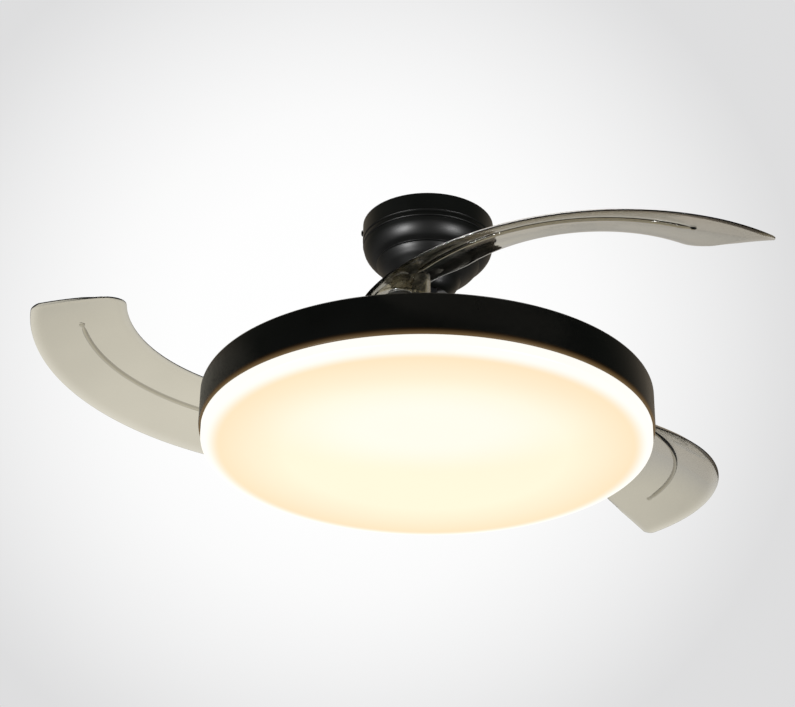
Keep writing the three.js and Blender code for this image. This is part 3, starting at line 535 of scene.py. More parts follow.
def clear_plastic(name, value):
    """Clear tinted plastic: deeper where it is thick, greyer where it is seen edge-on."""
    finish, shader, tree = new_finish(name)
    if shader:
        flow = object_noise(tree, 26, 3)
        tone = two_tone(tree, object_noise(tree, 9, 2), *shades(value, 0.03))
        steep = node(tree, "ShaderNodeLayerWeight", Blend=0.5)
        grazing = between_limits(tree, steep.outputs["Facing"], 0.5, 0.67)
        dial(
            shader, Transmission_Weight=1.0, IOR=1.14, Coat_Weight=0.25, Coat_Roughness=0.06,
            Roughness=spread(tree, flow, 0.03, 0.06),
            Base_Color=blended(tree, grazing, tone, (0.57, 0.565, 0.575)),
        )
        raised(tree, shader, flow, 0.02)
        depth = node(tree, "ShaderNodeVolumeAbsorption", Color=(0.46, 0.42, 0.30, 1), Density=130)
        dial(tree.nodes["Material Output"], Volume=depth.outputs["Volume"])
    return finish


def opal_glow(name, value, radius):
    """Lit opal acrylic: palest in the middle, peach round it, white on the rounded edge."""
    finish, shader, tree = new_finish(name)
    if shader:
        rim = distance_from(tree, (0, 0), (radius, radius))
        tone = ramp(
            tree, rim, ((0.62, value), (0.78, (1.0, 0.83, 0.6)), (0.93, (0.98, 0.76, 0.50)))
        )
        pool = distance_from(tree, (0, -0.27 * radius), (0.78 * radius, 0.5 * radius))
        tone = blended(tree, between_limits(tree, pool, 1.0, 0.3), tone, (1.0, 0.95, 0.83))
        tone = blended(tree, between_limits(tree, rim, 0.90, 0.97), tone, (1.0, 0.98, 0.93))
        dial(
            shader, Roughness=0.35, Specular_IOR_Level=0.3, Base_Color=(0.03, 0.028, 0.024, 1),
            Emission_Color=tone,
            Emission_Strength=spread(tree, object_noise(tree, 4, 2), 0.97, 1.0),
        )
        raised(tree, shader, object_noise(tree, 1500, 2), 0.01)
    return finish


def lit_edge(finish, low):
    """Warm lamp light on the lowest few millimetres of a painted piece."""
    tree = finish.node_tree
    height = node(tree, "ShaderNodeSeparateXYZ", Vector=object_place(tree)).outputs["Z"]
    glow = ramp(tree, between_limits(tree, height, low - 1.5 * MM, low + 7.5 * MM), (
        (0.0, (0.15, 0.095, 0.038)), (0.45, (0.065, 0.036, 0.013)), (0.8, (0.010, 0.004, 0.0)),
        (1.0, (0, 0, 0)),
    ))
    dial(tree.nodes["Principled BSDF"], Emission_Color=glow, Emission_Strength=1.0)
    return finish


def finishes(context):
    """Every finish of the fan by its slot."""
    tones = context.scene.fan_finish
    radius = context.scene.fan_lamp.radius
    return {
        "black_paint": painted("satin black paint", tones.black, 0.3, 0.12),
        "canopy_paint": painted("canopy paint", tones.black, 0.4, 0.32, 900, 0.006),
        "black_plastic": painted("matt black moulding", tones.plastic, 0.48, 0.4, 420, 0.05),
        "steel": metal("plated steel", tones.steel, 0.28, (1, 1, 12)),
        "dark_steel": painted("dark coated steel", tones.coated, 0.42, 0.5, 700, 0.03),
        "laminate": banded("stacked lamination", (0.22, 0.23, 0.24), 0.9, 0.4, 1.0),
        "copper": banded("enamelled winding wire", (0.55, 0.17, 0.05), 0.85, 0.3, 1.4),
        "aluminium": metal("cast aluminium", tones.cast, 0.42, (1, 1, 1), 700, 0.06),
        "ferrite": painted("bonded magnet", (0.03, 0.03, 0.032), 0.7, 0.3, 600, 0.06),
        "rubber": painted("moulded rubber", (0.018, 0.018, 0.018), 0.75, 0.3, 500, 0.05),
        "clear_blade": clear_plastic("clear smoke polycarbonate", tones.blade),
        "white_board": painted("white solder mask", (0.8, 0.8, 0.78), 0.4, 0.5, 800, 0.01, 0.04),
        "white_plastic": painted("white moulding", (0.72, 0.72, 0.7), 0.45, 0.5, 500, 0.03, 0.04),
        "opal": opal_glow("lit opal acrylic", tones.opal, radius),
    }


class Piece:
    """What every operator of the add-on shares."""

    bl_options = {"REGISTER", "UNDO"}

    def execute(self, context):
        self.build(context)
        return {"FINISHED"}


# ---- Ceiling side ----


class FAN_OT_canopy(Piece, bpy.types.Operator):
    """Pressed canopy: flange, groove, bowl, bead, cup and neck"""

    bl_idname = "fan.canopy"
    bl_label = "Canopy"

    def build(self, context):
        radius, flange = CANOPY_RADIUS, -22

        def at(pairs):
            """Points given by their inset from the rim and their drop below the flange."""
            return [(radius - inset, flange - drop) for inset, drop in pairs]

        outside = [(radius, -0.5), (radius, flange + 1.2)]
        outside += arc((radius - 1.0, flange + 1.0), (1.0, 1.0), 0, -80, 5)
        outside += [(radius - 1.1, flange - 0.6), (radius - 1.1, flange - 1.6)]
        outside += arc((radius - 1.0, flange - 2.9), (0.6, 0.8), 80, 10, 4)
        outside += arc((radius - 1.4, flange - 5.6), (1.0, 1.2), 0, -80, 5)
        outside += [(radius - 1.5, flange - 7.0), (radius - 1.5, flange - 7.6)]
        bowl = [(1.1, 8.3), (2.4, 13), (4.8, 17.5), (7.8, 21.5), (11.3, 25), (15, 27.4)]
        bowl += [(16.8, 28.3)]
        outside += curve_through(at(bowl), 5)
        outside += [(radius - 17.3, flange - 28.9)]
        outside += arc((radius - 17.9, flange - 30.6), (1.3, 1.5), 60, -50, 8)
        cup = [(17.6, 32.4), (18.9, 34.2), (20.9, 36.6), (23.8, 39.8), (28, 43.4), (32.6, 47.4)]
        cup += [(36.2, 50.2), (37.4, 51)]
        outside += curve_through(at(cup), 4)
        tier = [(37.8, 51.6), (39.4, 54.5), (41.2, 58), (43.6, 61.6), (45.9, 65.2), (47.4, 69)]
        tier += [(48, 73)]
        outside += curve_through(at(tier), 4)
        within = [(3.1, 0), (3.1, 7.6), (5.4, 14), (8.6, 19.2), (12.6, 23.6), (16, 26)]
        within += [(18.8, 28.4), (19.2, 31.4), (22.4, 36), (26.2, 40.2), (31.4, 44.6)]
        within += [(37.2, 49.4), (40, 52.4), (43, 58.4), (46, 62.8), (48.4, 66.6), (49.5, 73)]
        inside = [(radius - 1.5, -0.5), (radius - 1.5, flange + 3), *at(within)]
        piece = lathe("canopy_shell", outside + inside[::-1], steps=128)
        shorter = Matrix.Scale(0.1, 4, (0, 0, 1))
        for side in (0, 180):
            matrix = turn(side) @ shift(radius, 0, CANOPY_SCREW) @ turn(90, "Y") @ shorter
            cut(piece, rod("canopy_drill", 2.3, -90, 90, 24), matrix)
        smooth(piece, 40)
        stand_for(piece, "canopy", finishes(context)["canopy_paint"])


class FAN_OT_canopy_screws(Piece, bpy.types.Operator):
    """Two cross-recessed screws through the side of the canopy"""

    bl_idname = "fan.canopy_screws"
    bl_label = "Canopy screws"

    def build(self, context):
        outline = [(0, -6.2), (1.7, -6.2), (2, -5.8), (2, 0), (3.6, 0)]
        outline += arc((0, 0), (3.9, 1.8), 12, 90, 10)
        screw = lathe("canopy_screw_master", outline, steps=40, close=False)
        for wide, deep in ((2.4, 0.45), (0.45, 2.4)):
            cut(screw, block("recess", (-wide, wide), (-deep, deep), (0.9, 3)))
        smooth(screw)
        seat = shift(CANOPY_RADIUS + 0.3, 0, CANOPY_SCREW) @ turn(90, "Y")
        matrices = {f"canopy_screw_{i + 1}": turn(180 * i) @ seat for i in range(2)}
        stand_copies(screw, matrices, finishes(context)["black_paint"])


class FAN_OT_rod(Piece, bpy.types.Operator):
    """Hanging rod and the cup over its coupling"""

    bl_idname = "fan.rod"
    bl_label = "Rod and coupling cover"

    def build(self, context):
        tones = finishes(context)
        top = -27 - DROP  # the rod ends in the hanger ball, 27 mm below the ceiling
        outline = [(9, 143.3), (11, 143.3), (11, top), (9, top)]
        tube = lathe("hanging_rod", outline, lift=DROP, steps=64)
        soften(tube, 0.4)
        smooth(tube)
        stand_for(tube, "downrod", tones["dark_steel"])
        outside = [(11.7, 164.1), (22, 164.1)]
        outside += arc((22.6, 160.6), (3.4, 3.4), 80, 10, 6)
        outside += curve_through([(26.6, 157), (29, 141), (33, 131.5), (38.6, 126), (40, 124.2)], 5)
        outside += [(40, 119.5)]
        inside = [(38.2, 119.5), (38.2, 123.6)]
        bore = [(37, 125), (31.4, 131), (27.2, 141), (24.6, 157), (22.4, 162.3)]
        inside += curve_through(bore, 4)
        inside += [(11.7, 162.3)]
        cup = lathe("coupling_cup", outside + inside, lift=DROP)
        soften(cup, 0.3)
        smooth(cup)
        stand_for(cup, "coupling_cover", tones["black_plastic"])


# ---- Motor ----


class FAN_OT_motor(Piece, bpy.types.Operator):
    """Cast motor housing with its vents, and the plate under it"""

    bl_idname = "fan.motor"
    bl_label = "Motor housing"

    def build(self, context):
        tones = finishes(context)
        base, height = 58.6, 57
        top = base + height
        outline = [
            (90, base), (90, base + 3), (81.5, base + 3), (80, base + 4.5), (80, top - 6),
            *arc((74, top - 6), (6, 6), 15, 75, 4), (74, top), (40, top), (38, top),
            (12, top), (12, top - 2.7), (18.3, top - 2.7), (18.3, top - 11), (22.3, top - 11),
            (22.3, top - 3), (73, top - 3), (77, top - 7), (77, base),
        ]
        bell = lathe("motor_housing", outline, lift=DROP)
        for i in range(6):
            slot = block("vent", (37.7, 61.7), (-4, 4), (top - 6, top + 3))
            soften(slot, 3.9, 5)
            cut(bell, slot, turn(60 * i) @ shift(z=DROP))
        soften(bell, 0.5, 2, 40)
        smooth(bell)
        stand_for(bell, "motor_bell", tones["aluminium"])
        outline = [(18.3, 55.3), (90, 55.3), (90, 58.3), (22.3, 58.3), (22.3, 65.6), (18.3, 65.6)]
        cover = lathe("motor_under_plate", outline, lift=DROP)
        soften(cover, 0.5, 2)
        smooth(cover)
        stand_for(cover, "motor_cover", tones["aluminium"])


class FAN_OT_carrier(Piece, bpy.types.Operator):
    """Steel spider that carries the three blade hinges, and its rubber stops"""

    bl_idname = "fan.carrier"
    bl_label = "Blade carrier"

    def build(self, context):
        tones = finishes(context)
        disc, hinge, waist, wide, pad = 90, HINGE_RADIUS, 26, 36, 27
        hub, pin_hole, screw_hole, screw_circle = 66, 5.3, 2.3, 84
        through = (40, 70)  # heights between which holes are cut
        stop_circle, stop_radius, lug_half, play = 35.5, 4, 4, 0.5

        def bend(*corners):
            return [
                tuple(mix(mix(a, b, t), mix(b, c, t), t) for a, b, c in zip(*corners))
                for t in [k / 8 for k in range(1, 9)]
            ]

        half = [(math.sqrt(disc ** 2 - waist ** 2), -waist), (hinge - 62, -waist)]
        half += bend(half[-1], (hinge - 44, -wide), (hinge - 30, -wide))
        half += [(hinge - 14, -wide)]
        half += bend(half[-1], (hinge, -wide), (hinge + 8, -25.5))
        half += bend(half[-1], (hinge + pad, -pad / 2), (hinge + pad, 0))
        arm = half + [(x, -y) for x, y in half[-2::-1]]
        gap = math.degrees(math.asin(waist / disc))
        outline = []
        for i in range(3):
            matrix = arm_turn(i)
            outline += [tuple((matrix @ Vector((x, y, 0)))[:2]) for x, y in arm]
            start = FIRST_HINGE + 120 * i + gap
            for k in range(1, 12):
                a = math.radians(start + (120 - 2 * gap) * k / 12)
                outline.append((disc * math.cos(a), disc * math.sin(a)))
        spider = slab("blade_spider", outline, 52, 55)
        cut(spider, rod("hub_hole", hub, *through, 96))
        for i in range(3):
            window = block("arm_window", (104, 144), (-13, 13), through)
            soften(window, 5, 5)
            cut(spider, window, arm_turn(i))
            cut(spider, rod("pin_hole", pin_hole, *through, 32), arm_turn(i) @ shift(hinge))
            screw = turn(FIRST_HINGE + 60 + 120 * i) @ shift(screw_circle)
            cut(spider, rod("screw_hole", screw_hole, *through, 24), screw)
        soften(spider, 0.4, 2)
        place(spider, shift(z=DROP))
        smooth(spider)
        stand_for(spider, "blade_carrier", tones["dark_steel"])

        outline = [(0, 55.3), (stop_radius, 55.3), (stop_radius, 64.6)]
        outline += [*arc((2.6, 64.6), (1.4, 1.4), 20, 90, 4), (0, 66)]
        stop = lathe("rubber_stop_master", outline, lift=DROP, steps=32, close=False)
        smooth(stop)
        touch = math.degrees((stop_radius + lug_half + play) / stop_circle)
        headings = {"open": OPEN_HEADING - touch, "fold": FOLD_HEADING + touch}
        matrices = {}
        for i in range(3):
            for kind, heading in headings.items():
                a = math.radians(heading + LUG_ANGLE)
                matrices[f"{kind}_stop_{i + 1}"] = arm_turn(i) @ shift(
                    hinge + stop_circle * math.cos(a), stop_circle * math.sin(a)
                )
        stand_copies(stop, matrices, tones["rubber"])


# ---- Hinges and blades ----


class FAN_OT_hinges(Piece, bpy.types.Operator):
    """Shoulder bolt, bush, nut and return spring of each blade hinge"""

    bl_idname = "fan.hinges"
    bl_label = "Blade hinges"

    def build(self, context):
        outline = [(0, 49.1), (8.4, 49.1), (9, 49.6), (9, 51.7), (5, 51.7), (5, 92.7)]
        outline += [(4.2, 93.5), (0, 93.5)]
        pin = lathe("hinge_pin_master", outline, lift=DROP, steps=48, close=False)
        outline = [(5.3, 55.3), (14, 55.3), (14, 57.7), (8, 57.7), (8, 85.8), (5.3, 85.8)]
        bush = lathe("hinge_bush_master", outline, lift=DROP, steps=48)
        soften(bush, 0.3, 2)
        nut = rod("blade_nut_master", 9, 86.3, 91.1, 6)
        soften(nut, 0.5, 2)
        outline = [(0, 90.5), (7.4, 90.5), (7.4, 91.5), (6.9, 92.1), (0, 92.1)]
        combine(nut, lathe("nut_crown", outline, steps=48, close=False))
        outline = [(0, 86.1), (11.7, 86.1), (12, 86.4), (12, 87), (11.7, 87.3), (0, 87.3)]
        combine(nut, lathe("nut_washer", outline, steps=64, close=False))
        cut(nut, rod("nut_bore", 5.3, 80, 95, 32))
        place(nut, shift(z=DROP))
        masters = {"hinge_pin": pin, "hinge_bush": bush, "blade_nut": nut}
        masters["return_spring"] = spring()
        for kind, master in masters.items():
            smooth(master)
            matrices = {f"{kind}_{i + 1}": arm_turn(i) @ shift(HINGE_RADIUS) for i in range(3)}
            stand_copies(master, matrices, finishes(context)["steel"])


def spring():
    """A helix of round wire round the bush."""
    turns, steps, pitch, coil, low = 3, 28, 2.6, 12.6, 59
    count = turns * steps
    points = []
    for k in range(count + 1):
        a = 2 * math.pi * turns * k / count
        height = low + turns * pitch * k / count + DROP
        points.append((coil * math.cos(a) * MM, coil * math.sin(a) * MM, height * MM))
    return wire("return_spring_master", points, 1.0, 4)


ROOF = 31.0  # radius of the round end of the plate, which roofs the boss
TIP_OUTER, TIP_INNER = 7.0, 30.0  # corner radii of the tip
PITCH = (25, 17)  # slope across the plate at the root and at the tip, in degrees
CAMBER = (0.0043, 0.0010)  # how much the plate bends down at its sides, at the root and at the tip
CENTRE_LINE = 77.8  # height of the centre line at the hinge
RIM = 0.4  # share of the thickness that is left at the plate's rim
RIM_SLOPE, TIP_SLOPE = 7, 5  # how soon the rim and the tip reach the full thickness
ROOT_SHARE, TIP_SHARE = 0.1, 0.86  # where the root's round end stops and the tip's starts
BULGE_SHARE = 0.8  # where the tip starts to be fuller
RIB_START, RIB_END, RIB_RADIUS = 30, 331, 2.6
RIB_DROP = 2.3  # depth of the rib's middle below the plate's
PAD_RADIUS, PAD_DROP, PAD_FLATNESS = 3.6, 1.0, 0.75
# The plate beside the hinge: distance along, half width outside and half width inside.
SHOULDER = (
    (-14.1, 26.9, 28.1), (-7, 35.0, 30.4), (0, 41, 31.5), (12, 44.2, 35), (24, 46, 39),
    (40, 49, 45), (56, 51, 48),
)


def blade_place(s, w, arc_radius, reach, rise):
    """A point of the blade's middle surface, in millimetres from its hinge."""
    t = max(0.0, s) / reach
    pitch, camber = math.radians(mix(*PITCH, t)), mix(*CAMBER, t)
    height = CENTRE_LINE + rise * (2 * t - t * t) + w * math.tan(pitch) - camber * w * w
    a = s / arc_radius
    return Vector((
        (arc_radius - w) * math.sin(a), arc_radius - (arc_radius - w) * math.cos(a), height
    ))


def between(rows, s):
    """Values of a table at one distance, read off between its rows."""
    if s >= rows[-1][0]:
        return rows[-1][1:]
    for low, high in zip(rows, rows[1:]):
        if s <= high[0]:
            t = (s - low[0]) / (high[0] - low[0])
            return tuple(mix(a, b, t) for a, b in zip(low[1:], high[1:]))


def blade_row(u, shoulder, arc_radius, reach):
    """Distance along and the two half widths, for a share of the way from root to tip."""
    straight = reach - TIP_INNER
    if u < ROOT_SHARE:
        angle = math.radians(mix(86, 27, u / ROOT_SHARE))
        back, half = ROOF * math.sin(angle), ROOF * math.cos(angle)
        sag = arc_radius - math.sqrt(arc_radius ** 2 - back ** 2)
        return -arc_radius * math.asin(back / arc_radius), half - sag, half + sag
    if u < TIP_SHARE:
        s = mix(shoulder[0][0], straight, (u - ROOT_SHARE) / (TIP_SHARE - ROOT_SHARE))
    else:
        s = straight + TIP_INNER * math.sin((u - TIP_SHARE) / (1 - TIP_SHARE) * math.pi / 2)
    widths = between(shoulder, s)
    rounded = []
    for wide, corner in zip(widths, (TIP_OUTER, TIP_INNER)):
        past = max(0.0, s - reach + corner)
        rounded.append(wide - corner + math.sqrt(max(0.0, corner ** 2 - past ** 2)))
    return s, rounded[0], rounded[1]


class FAN_OT_blades(Piece, bpy.types.Operator):
    """Three clear blades, each a cambered curved plate with a rib and a hollow boss"""

    bl_idname = "fan.blades"
    bl_label = "Blades"

    def build(self, context):
        sizes = context.scene.fan_blade
        arc_radius, reach, rise = sizes.arc / MM, sizes.reach / MM, sizes.rise / MM
        shoulder = curve_through(SHOULDER, 6)
        clear_selection()
        bpy.ops.mesh.primitive_grid_add(x_subdivisions=110, y_subdivisions=24, size=2)
        plate = bpy.context.object
        plate.name = "blade_plate"
        body = plate.vertex_groups.new(name="away_from_edge")
        for vertex in plate.data.vertices:
            v = vertex.co.y
            u = (vertex.co.x + 1) / 2
            s, outer, inner = blade_row(u, shoulder, arc_radius, reach)
            w = v * (outer if v < 0 else inner)
            # The tip is 5 mm fuller at its outer edge, 3 mm in the middle and 1 mm less inside.
            bulge = max(0.0, (u - BULGE_SHARE) / (1 - BULGE_SHARE)) ** 2 * (3 - 3 * v - v * v)
            vertex.co = blade_place(s + bulge, w, arc_radius, reach, rise) * MM
            full = min(1.0, (1 - abs(v)) * RIM_SLOPE, max(0.0, reach - s) / TIP_SLOPE)
            body.add([vertex.index], full, "REPLACE")
        apply(
            plate, "SOLIDIFY", thickness=sizes.thickness, offset=0.0,
            vertex_group=body.name, thickness_vertex_group=RIM,
        )
        activate(plate)
        mode("EDIT")
        outward()
        soften(plate, 0.4, 3, 50)
        combine(plate, self.rib(arc_radius, reach, rise))
        combine(plate, self.boss(sizes.boss / MM, self.under_roof(arc_radius, reach, rise)))
        cut(plate, rod("sleeve_core", 9, 38, 104, 64))
        sleeve = [(8.15, 58), (10.8, 58), (11.15, 58.4), (11.15, 85.1), (10.8, 85.5), (8.15, 85.5)]
        combine(plate, lathe("blade_sleeve", sleeve, steps=64))
        place(plate, shift(z=DROP))
        smooth(plate, 32)
        matrices = {
            f"blade_{i + 1}": arm_turn(i) @ shift(HINGE_RADIUS) @ turn(heading)
            for i, heading in enumerate(REST_HEADINGS)
        }
        stand_copies(plate, matrices, finishes(context)["clear_blade"], "clear_{}")

    def rib(self, arc_radius, reach, rise):
        """The stiffening rib under the centre line, with a round pad at its tip end."""
        count, points, shares = 60, [], []
        for k in range(count + 1):
            s = mix(RIB_START, RIB_END, k / count)
            point = blade_place(s, 0, arc_radius, reach, rise) * MM
            points.append((point.x, point.y, point.z - RIB_DROP * MM))
            shares.append(min(1.0, 0.35 + 16 * min(k, count - k) / count))
        rib = wire("blade_rib", points, RIB_RADIUS, 5, shares)
        clear_selection()
        tip = blade_place(RIB_END + 1, -1, arc_radius, reach, rise) * MM
        bpy.ops.mesh.primitive_uv_sphere_add(
            segments=24, ring_count=12, radius=PAD_RADIUS * MM,
            location=(tip.x, tip.y, tip.z - PAD_DROP * MM),
        )
        pad = bpy.context.object
        bpy.ops.transform.resize(value=(1, 1, PAD_FLATNESS))
        place(pad)
        combine(rib, pad)
        return rib

    def under_roof(self, arc_radius, reach, rise):
        """Everything under the plate's middle surface round the hinge."""
        width, depth = 76, 60
        clear_selection()
        bpy.ops.mesh.primitive_grid_add(x_subdivisions=32, y_subdivisions=32, size=width)
        under = bpy.context.object
        for vertex in under.data.vertices:
            vertex.co = blade_place(vertex.co.x, vertex.co.y, arc_radius, reach, rise) * MM
        mode("EDIT")
        bpy.ops.mesh.select_all(action="SELECT")
        bpy.ops.mesh.extrude_region_move(TRANSFORM_OT_translate={"value": (0, 0, -depth * MM)})
        outward()
        return under

    def boss(self, radius, roof):
        """Round wall and ribs under the sloping plate, open below, with the stop lug."""
        base, inner, high = 58, radius - 3, 110
        body = lathe("blade_boss", [
            (inner + 0.4, base), (radius - 0.4, base), (radius, base + 0.4), (radius, high),
            (inner, high), (inner, base + 0.4),
        ])
        for angle in (0, 60, 120, 180):
            rib = block("boss_rib", (9.2, inner + 0.5), (-1, 1), (69, high - 5))
            place(rib, turn(angle))
            combine(body, rib)
        combine(body, roof, "INTERSECT")
        lug = block("boss_lug", (radius - 1.5, radius + 8), (-4, 4), (base + 0.5, base + 7.5))
        soften(lug, 0.8, 2)
        place(lug, turn(LUG_ANGLE))
        combine(body, lug)
        return body


# ---- Lamp ----


class FAN_OT_lamp_pan(Piece, bpy.types.Operator):
    """Spun black pan whose side is the ring round the lamp"""

    bl_idname = "fan.lamp_pan"
    bl_label = "Lamp ring"

    def build(self, context):
        lamp = context.scene.fan_lamp
        radius, height = lamp.radius / MM, lamp.height / MM
        corner, lip, wall = lamp.shoulder / MM, lamp.lip / MM, lamp.wall / MM
        shaft_hole = 10.3
        outline = [(radius - 1.2 - wall, 0), *arc((radius - 1.9, 0.9), (0.9, 0.9), -90, -20, 4)]
        outline += [(radius - 0.25, lip - 1), (radius, lip + 0.5)]
        outline += arc((radius - corner, height - corner), (corner, corner), 0, 90, 12)
        outline += [(shaft_hole, height), (shaft_hole, height - wall)]
        outline += arc((radius - corner, height - corner), (corner - wall, corner - wall), 90, 0, 6)
        outline += [(radius - wall, lip)]
        piece = lathe("lamp_ring", outline, lift=DROP, steps=192)
        smooth(piece, 40)
        paint = painted("lit ring paint", context.scene.fan_finish.black, 0.3, 0.12)
        stand_for(piece, "lamp_pan", lit_edge(paint, DROP * MM))


class FAN_OT_diffuser(Piece, bpy.types.Operator):
    """Opal cover: a collar inside the ring, a short side, a rounding and a shallow dome"""

    bl_idname = "fan.diffuser"
    bl_label = "Opal cover"

    def build(self, context):
        lamp = context.scene.fan_lamp
        wall, rounding = lamp.opal_wall / MM, lamp.opal_round / MM
        gap, collar, side, depth, dome = 3, 7, -9, 6.5, 1.5

        def section(radius, inset, steps):
            points = [(radius, collar), (radius, -4), (radius, side)]
            points += arc((radius - rounding, side), (rounding, inset - depth), 0, 90, steps)[1:]
            face = points[-1][1]
            points += [
                (radius * share, face - dome * (1 - share ** 2))
                for share in (0.85, 0.7, 0.5, 0.3, 0.12)
            ]
            return points + [(0, face - dome)]

        outer = lamp.radius / MM - gap
        outline = section(outer, 0, 14) + section(outer - wall, wall, 8)[::-1]
        piece = lathe("opal_cover", outline, lift=DROP, steps=192)
        smooth(piece, 50)
        stand_for(piece, "diffuser", finishes(context)["opal"])


class FAN_OT_inside(Piece, bpy.types.Operator):
    """Finishes of the pieces that keep their own shape"""

    bl_idname = "fan.inside"
    bl_label = "Inside pieces"

    def build(self, context):
        tones = finishes(context)
        for name, piece in frame["nodes"].items():
            piece.data.materials.clear()
            piece.data.materials.append(tones[SLOT_OF[name]])


# ---- Studio ----


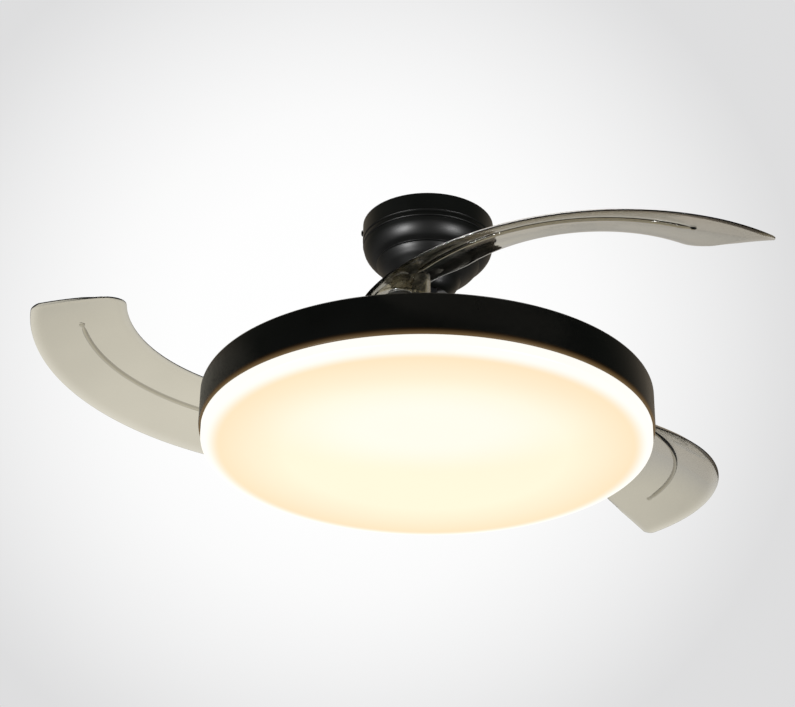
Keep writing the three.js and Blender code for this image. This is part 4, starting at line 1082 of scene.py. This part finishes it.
class FAN_OT_studio(Piece, bpy.types.Operator):
    """Pale floor, soft lamps, white air and the camera"""

    bl_idname = "fan.studio"
    bl_label = "Studio"

    def build(self, context):
        studio = context.scene.fan_studio
        self.floor(studio.floor_drop)
        self.air(studio.air)
        self.camera()
        right_share, target = 0.65, Vector((0, 0, -0.2))
        lamps = [
            ("side_lamp_left", (-1.5, -1.4, -1.4), (0.7, 0.4), studio.side_power),
            ("side_lamp_right", (1.5, -1.4, -1.4), (0.7, 0.4), right_share * studio.side_power),
            ("upper_lamp", (0.0, 0.6, 1.6), (1.6, 1.6), studio.top_power),
        ]
        for name, spot, size, watts in lamps:
            clear_selection()
            bpy.ops.object.light_add(type="AREA", location=spot)
            lamp = bpy.context.object
            lamp.name = name
            lamp.data.shape = "RECTANGLE"
            lamp.data.size, lamp.data.size_y = size
            lamp.data.energy = watts
            lamp.visible_transmission = False
            aim = target - Vector(spot)
            lamp.rotation_euler = aim.to_track_quat("-Z", "Y").to_euler()
        context.scene.view_settings.view_transform = "Standard"

    def floor(self, drop):
        """A large pale floor."""
        clear_selection()
        bpy.ops.mesh.primitive_plane_add(size=30, location=(0, 0, 0))
        floor = bpy.context.object
        floor.name = "studio_floor"
        mode("EDIT")
        bpy.ops.mesh.subdivide(number_cuts=4)
        mode("OBJECT")
        place(floor, Matrix.Translation((0, 0, -drop)))
        finish, shader, tree = new_finish("pale floor")
        if shader:
            tone = two_tone(tree, object_noise(tree, 2, 2), (0.80, 0.80, 0.80), (0.84, 0.84, 0.84))
            dial(shader, Roughness=0.9, Specular_IOR_Level=0.1, Base_Color=tone)
        floor.data.materials.append(finish)

    def air(self, strength):
        """Soft light from all round; a white ground is seen, and a dim warm one is mirrored."""
        world = bpy.data.worlds.new("studio_air")
        bpy.context.scene.world = world
        world.use_nodes = True
        tree = world.node_tree
        tree.nodes.clear()

        def mixed(share, first, second):
            made = node(tree, "ShaderNodeMixShader")
            for socket, source in zip(made.inputs, (share, first, second)):
                tree.links.new(source, socket)
            return made.outputs["Shader"]

        def background(**values):
            return node(tree, "ShaderNodeBackground", **values).outputs["Background"]

        where = node(tree, "ShaderNodeTexCoord").outputs["Generated"]
        facing = node(tree, "ShaderNodeVectorMath", operation="DOT_PRODUCT", Vector=where)
        facing.inputs[1].default_value = self.forward(BRIGHT_ASIDE)
        light = background(Color=(1, 1, 1, 1), Strength=strength)
        seen, mirrored = (
            background(Color=ramp(tree, facing.outputs["Value"], stops), Strength=1.0)
            for stops in (
                ((0.9735, (0.73, 0.73, 0.735)), (0.9945, (0.99, 0.99, 0.99)), (1.0, (1, 1, 1))),
                ((0.4, (0.07, 0.08, 0.065)), (0.8, (0.42, 0.36, 0.28))),
            )
        )
        path = node(tree, "ShaderNodeLightPath").outputs
        direct = node(tree, "ShaderNodeMath", operation="MAXIMUM")
        for socket, kind in zip(direct.inputs, ("Is Camera Ray", "Is Transmission Ray")):
            tree.links.new(path[kind], socket)
        around = mixed(path["Is Glossy Ray"], light, mirrored)
        surface = mixed(direct.outputs["Value"], around, seen)
        node(tree, "ShaderNodeOutputWorld", Surface=surface)

    def forward(self, aside=0.0):
        """The direction in which the camera looks, or one that many degrees beside it."""
        yaw, pitch = math.radians(CAMERA_YAW + aside), math.radians(CAMERA_PITCH)
        return Vector((
            math.sin(yaw) * math.cos(pitch), math.cos(yaw) * math.cos(pitch), math.sin(pitch)
        ))

    def camera(self):
        """The camera below and in front of the fan, looking up at it."""
        ahead = self.forward()
        right = Vector((ahead.y, -ahead.x, 0)).normalized()
        up = right.cross(ahead)
        roll = math.radians(CAMERA_ROLL)
        across = math.cos(roll) * right + math.sin(roll) * up
        above = -math.sin(roll) * right + math.cos(roll) * up
        clear_selection()
        bpy.ops.object.camera_add(location=(0, -CAMERA_BACK, DROP * MM - CAMERA_BELOW))
        camera = bpy.context.object
        camera.name = "studio_camera"
        spot = camera.location.copy()
        camera.matrix_world = Matrix.Translation(spot) @ Matrix((
            (across.x, above.x, -ahead.x, 0), (across.y, above.y, -ahead.y, 0),
            (across.z, above.z, -ahead.z, 0), (0, 0, 0, 1),
        ))
        camera.data.lens, camera.data.sensor_width = LENS, SENSOR
        bpy.context.scene.camera = camera


# ---- Panel and registration ----


PIECES = (
    FAN_OT_inside, FAN_OT_canopy, FAN_OT_canopy_screws, FAN_OT_rod, FAN_OT_motor, FAN_OT_carrier,
    FAN_OT_hinges, FAN_OT_blades, FAN_OT_lamp_pan, FAN_OT_diffuser, FAN_OT_studio,
)
SETTINGS = {
    "fan_lamp": FanLampSettings,
    "fan_blade": FanBladeSettings,
    "fan_finish": FanFinishSettings,
    "fan_studio": FanStudioSettings,
}


class FAN_PT_panel(bpy.types.Panel):
    """Buttons for each group of pieces"""

    bl_idname = "FAN_PT_panel"
    bl_label = "Ceiling fan"
    bl_space_type = "VIEW_3D"
    bl_region_type = "UI"
    bl_category = "Ceiling fan"

    def draw(self, context):
        for group in SETTINGS:
            box = self.layout.box()
            settings = getattr(context.scene, group)
            for name in settings.bl_rna.properties.keys():
                if name not in {"name", "rna_type"}:
                    box.prop(settings, name)
        for piece in PIECES:
            self.layout.operator(piece.bl_idname)


def register():
    """Register the settings, the operators and the panel."""
    for group, settings in SETTINGS.items():
        bpy.utils.register_class(settings)
        setattr(bpy.types.Scene, group, bpy.props.PointerProperty(type=settings))
    for piece in (*PIECES, FAN_PT_panel):
        bpy.utils.register_class(piece)


def unregister():
    """Undo the registration."""
    for piece in (FAN_PT_panel, *reversed(PIECES)):
        bpy.utils.unregister_class(piece)
    for group, settings in SETTINGS.items():
        delattr(bpy.types.Scene, group)
        bpy.utils.unregister_class(settings)


def corners(bounds):
    """Bounds as plain lists of numbers."""
    return [[float(v) for v in corner] for corner in bounds]


def main():
    """Build every piece."""
    register()
    for piece in PIECES:
        group, name = piece.bl_idname.split(".")
        getattr(getattr(bpy.ops, group), name)()


if __name__ == "__main__":
    main()
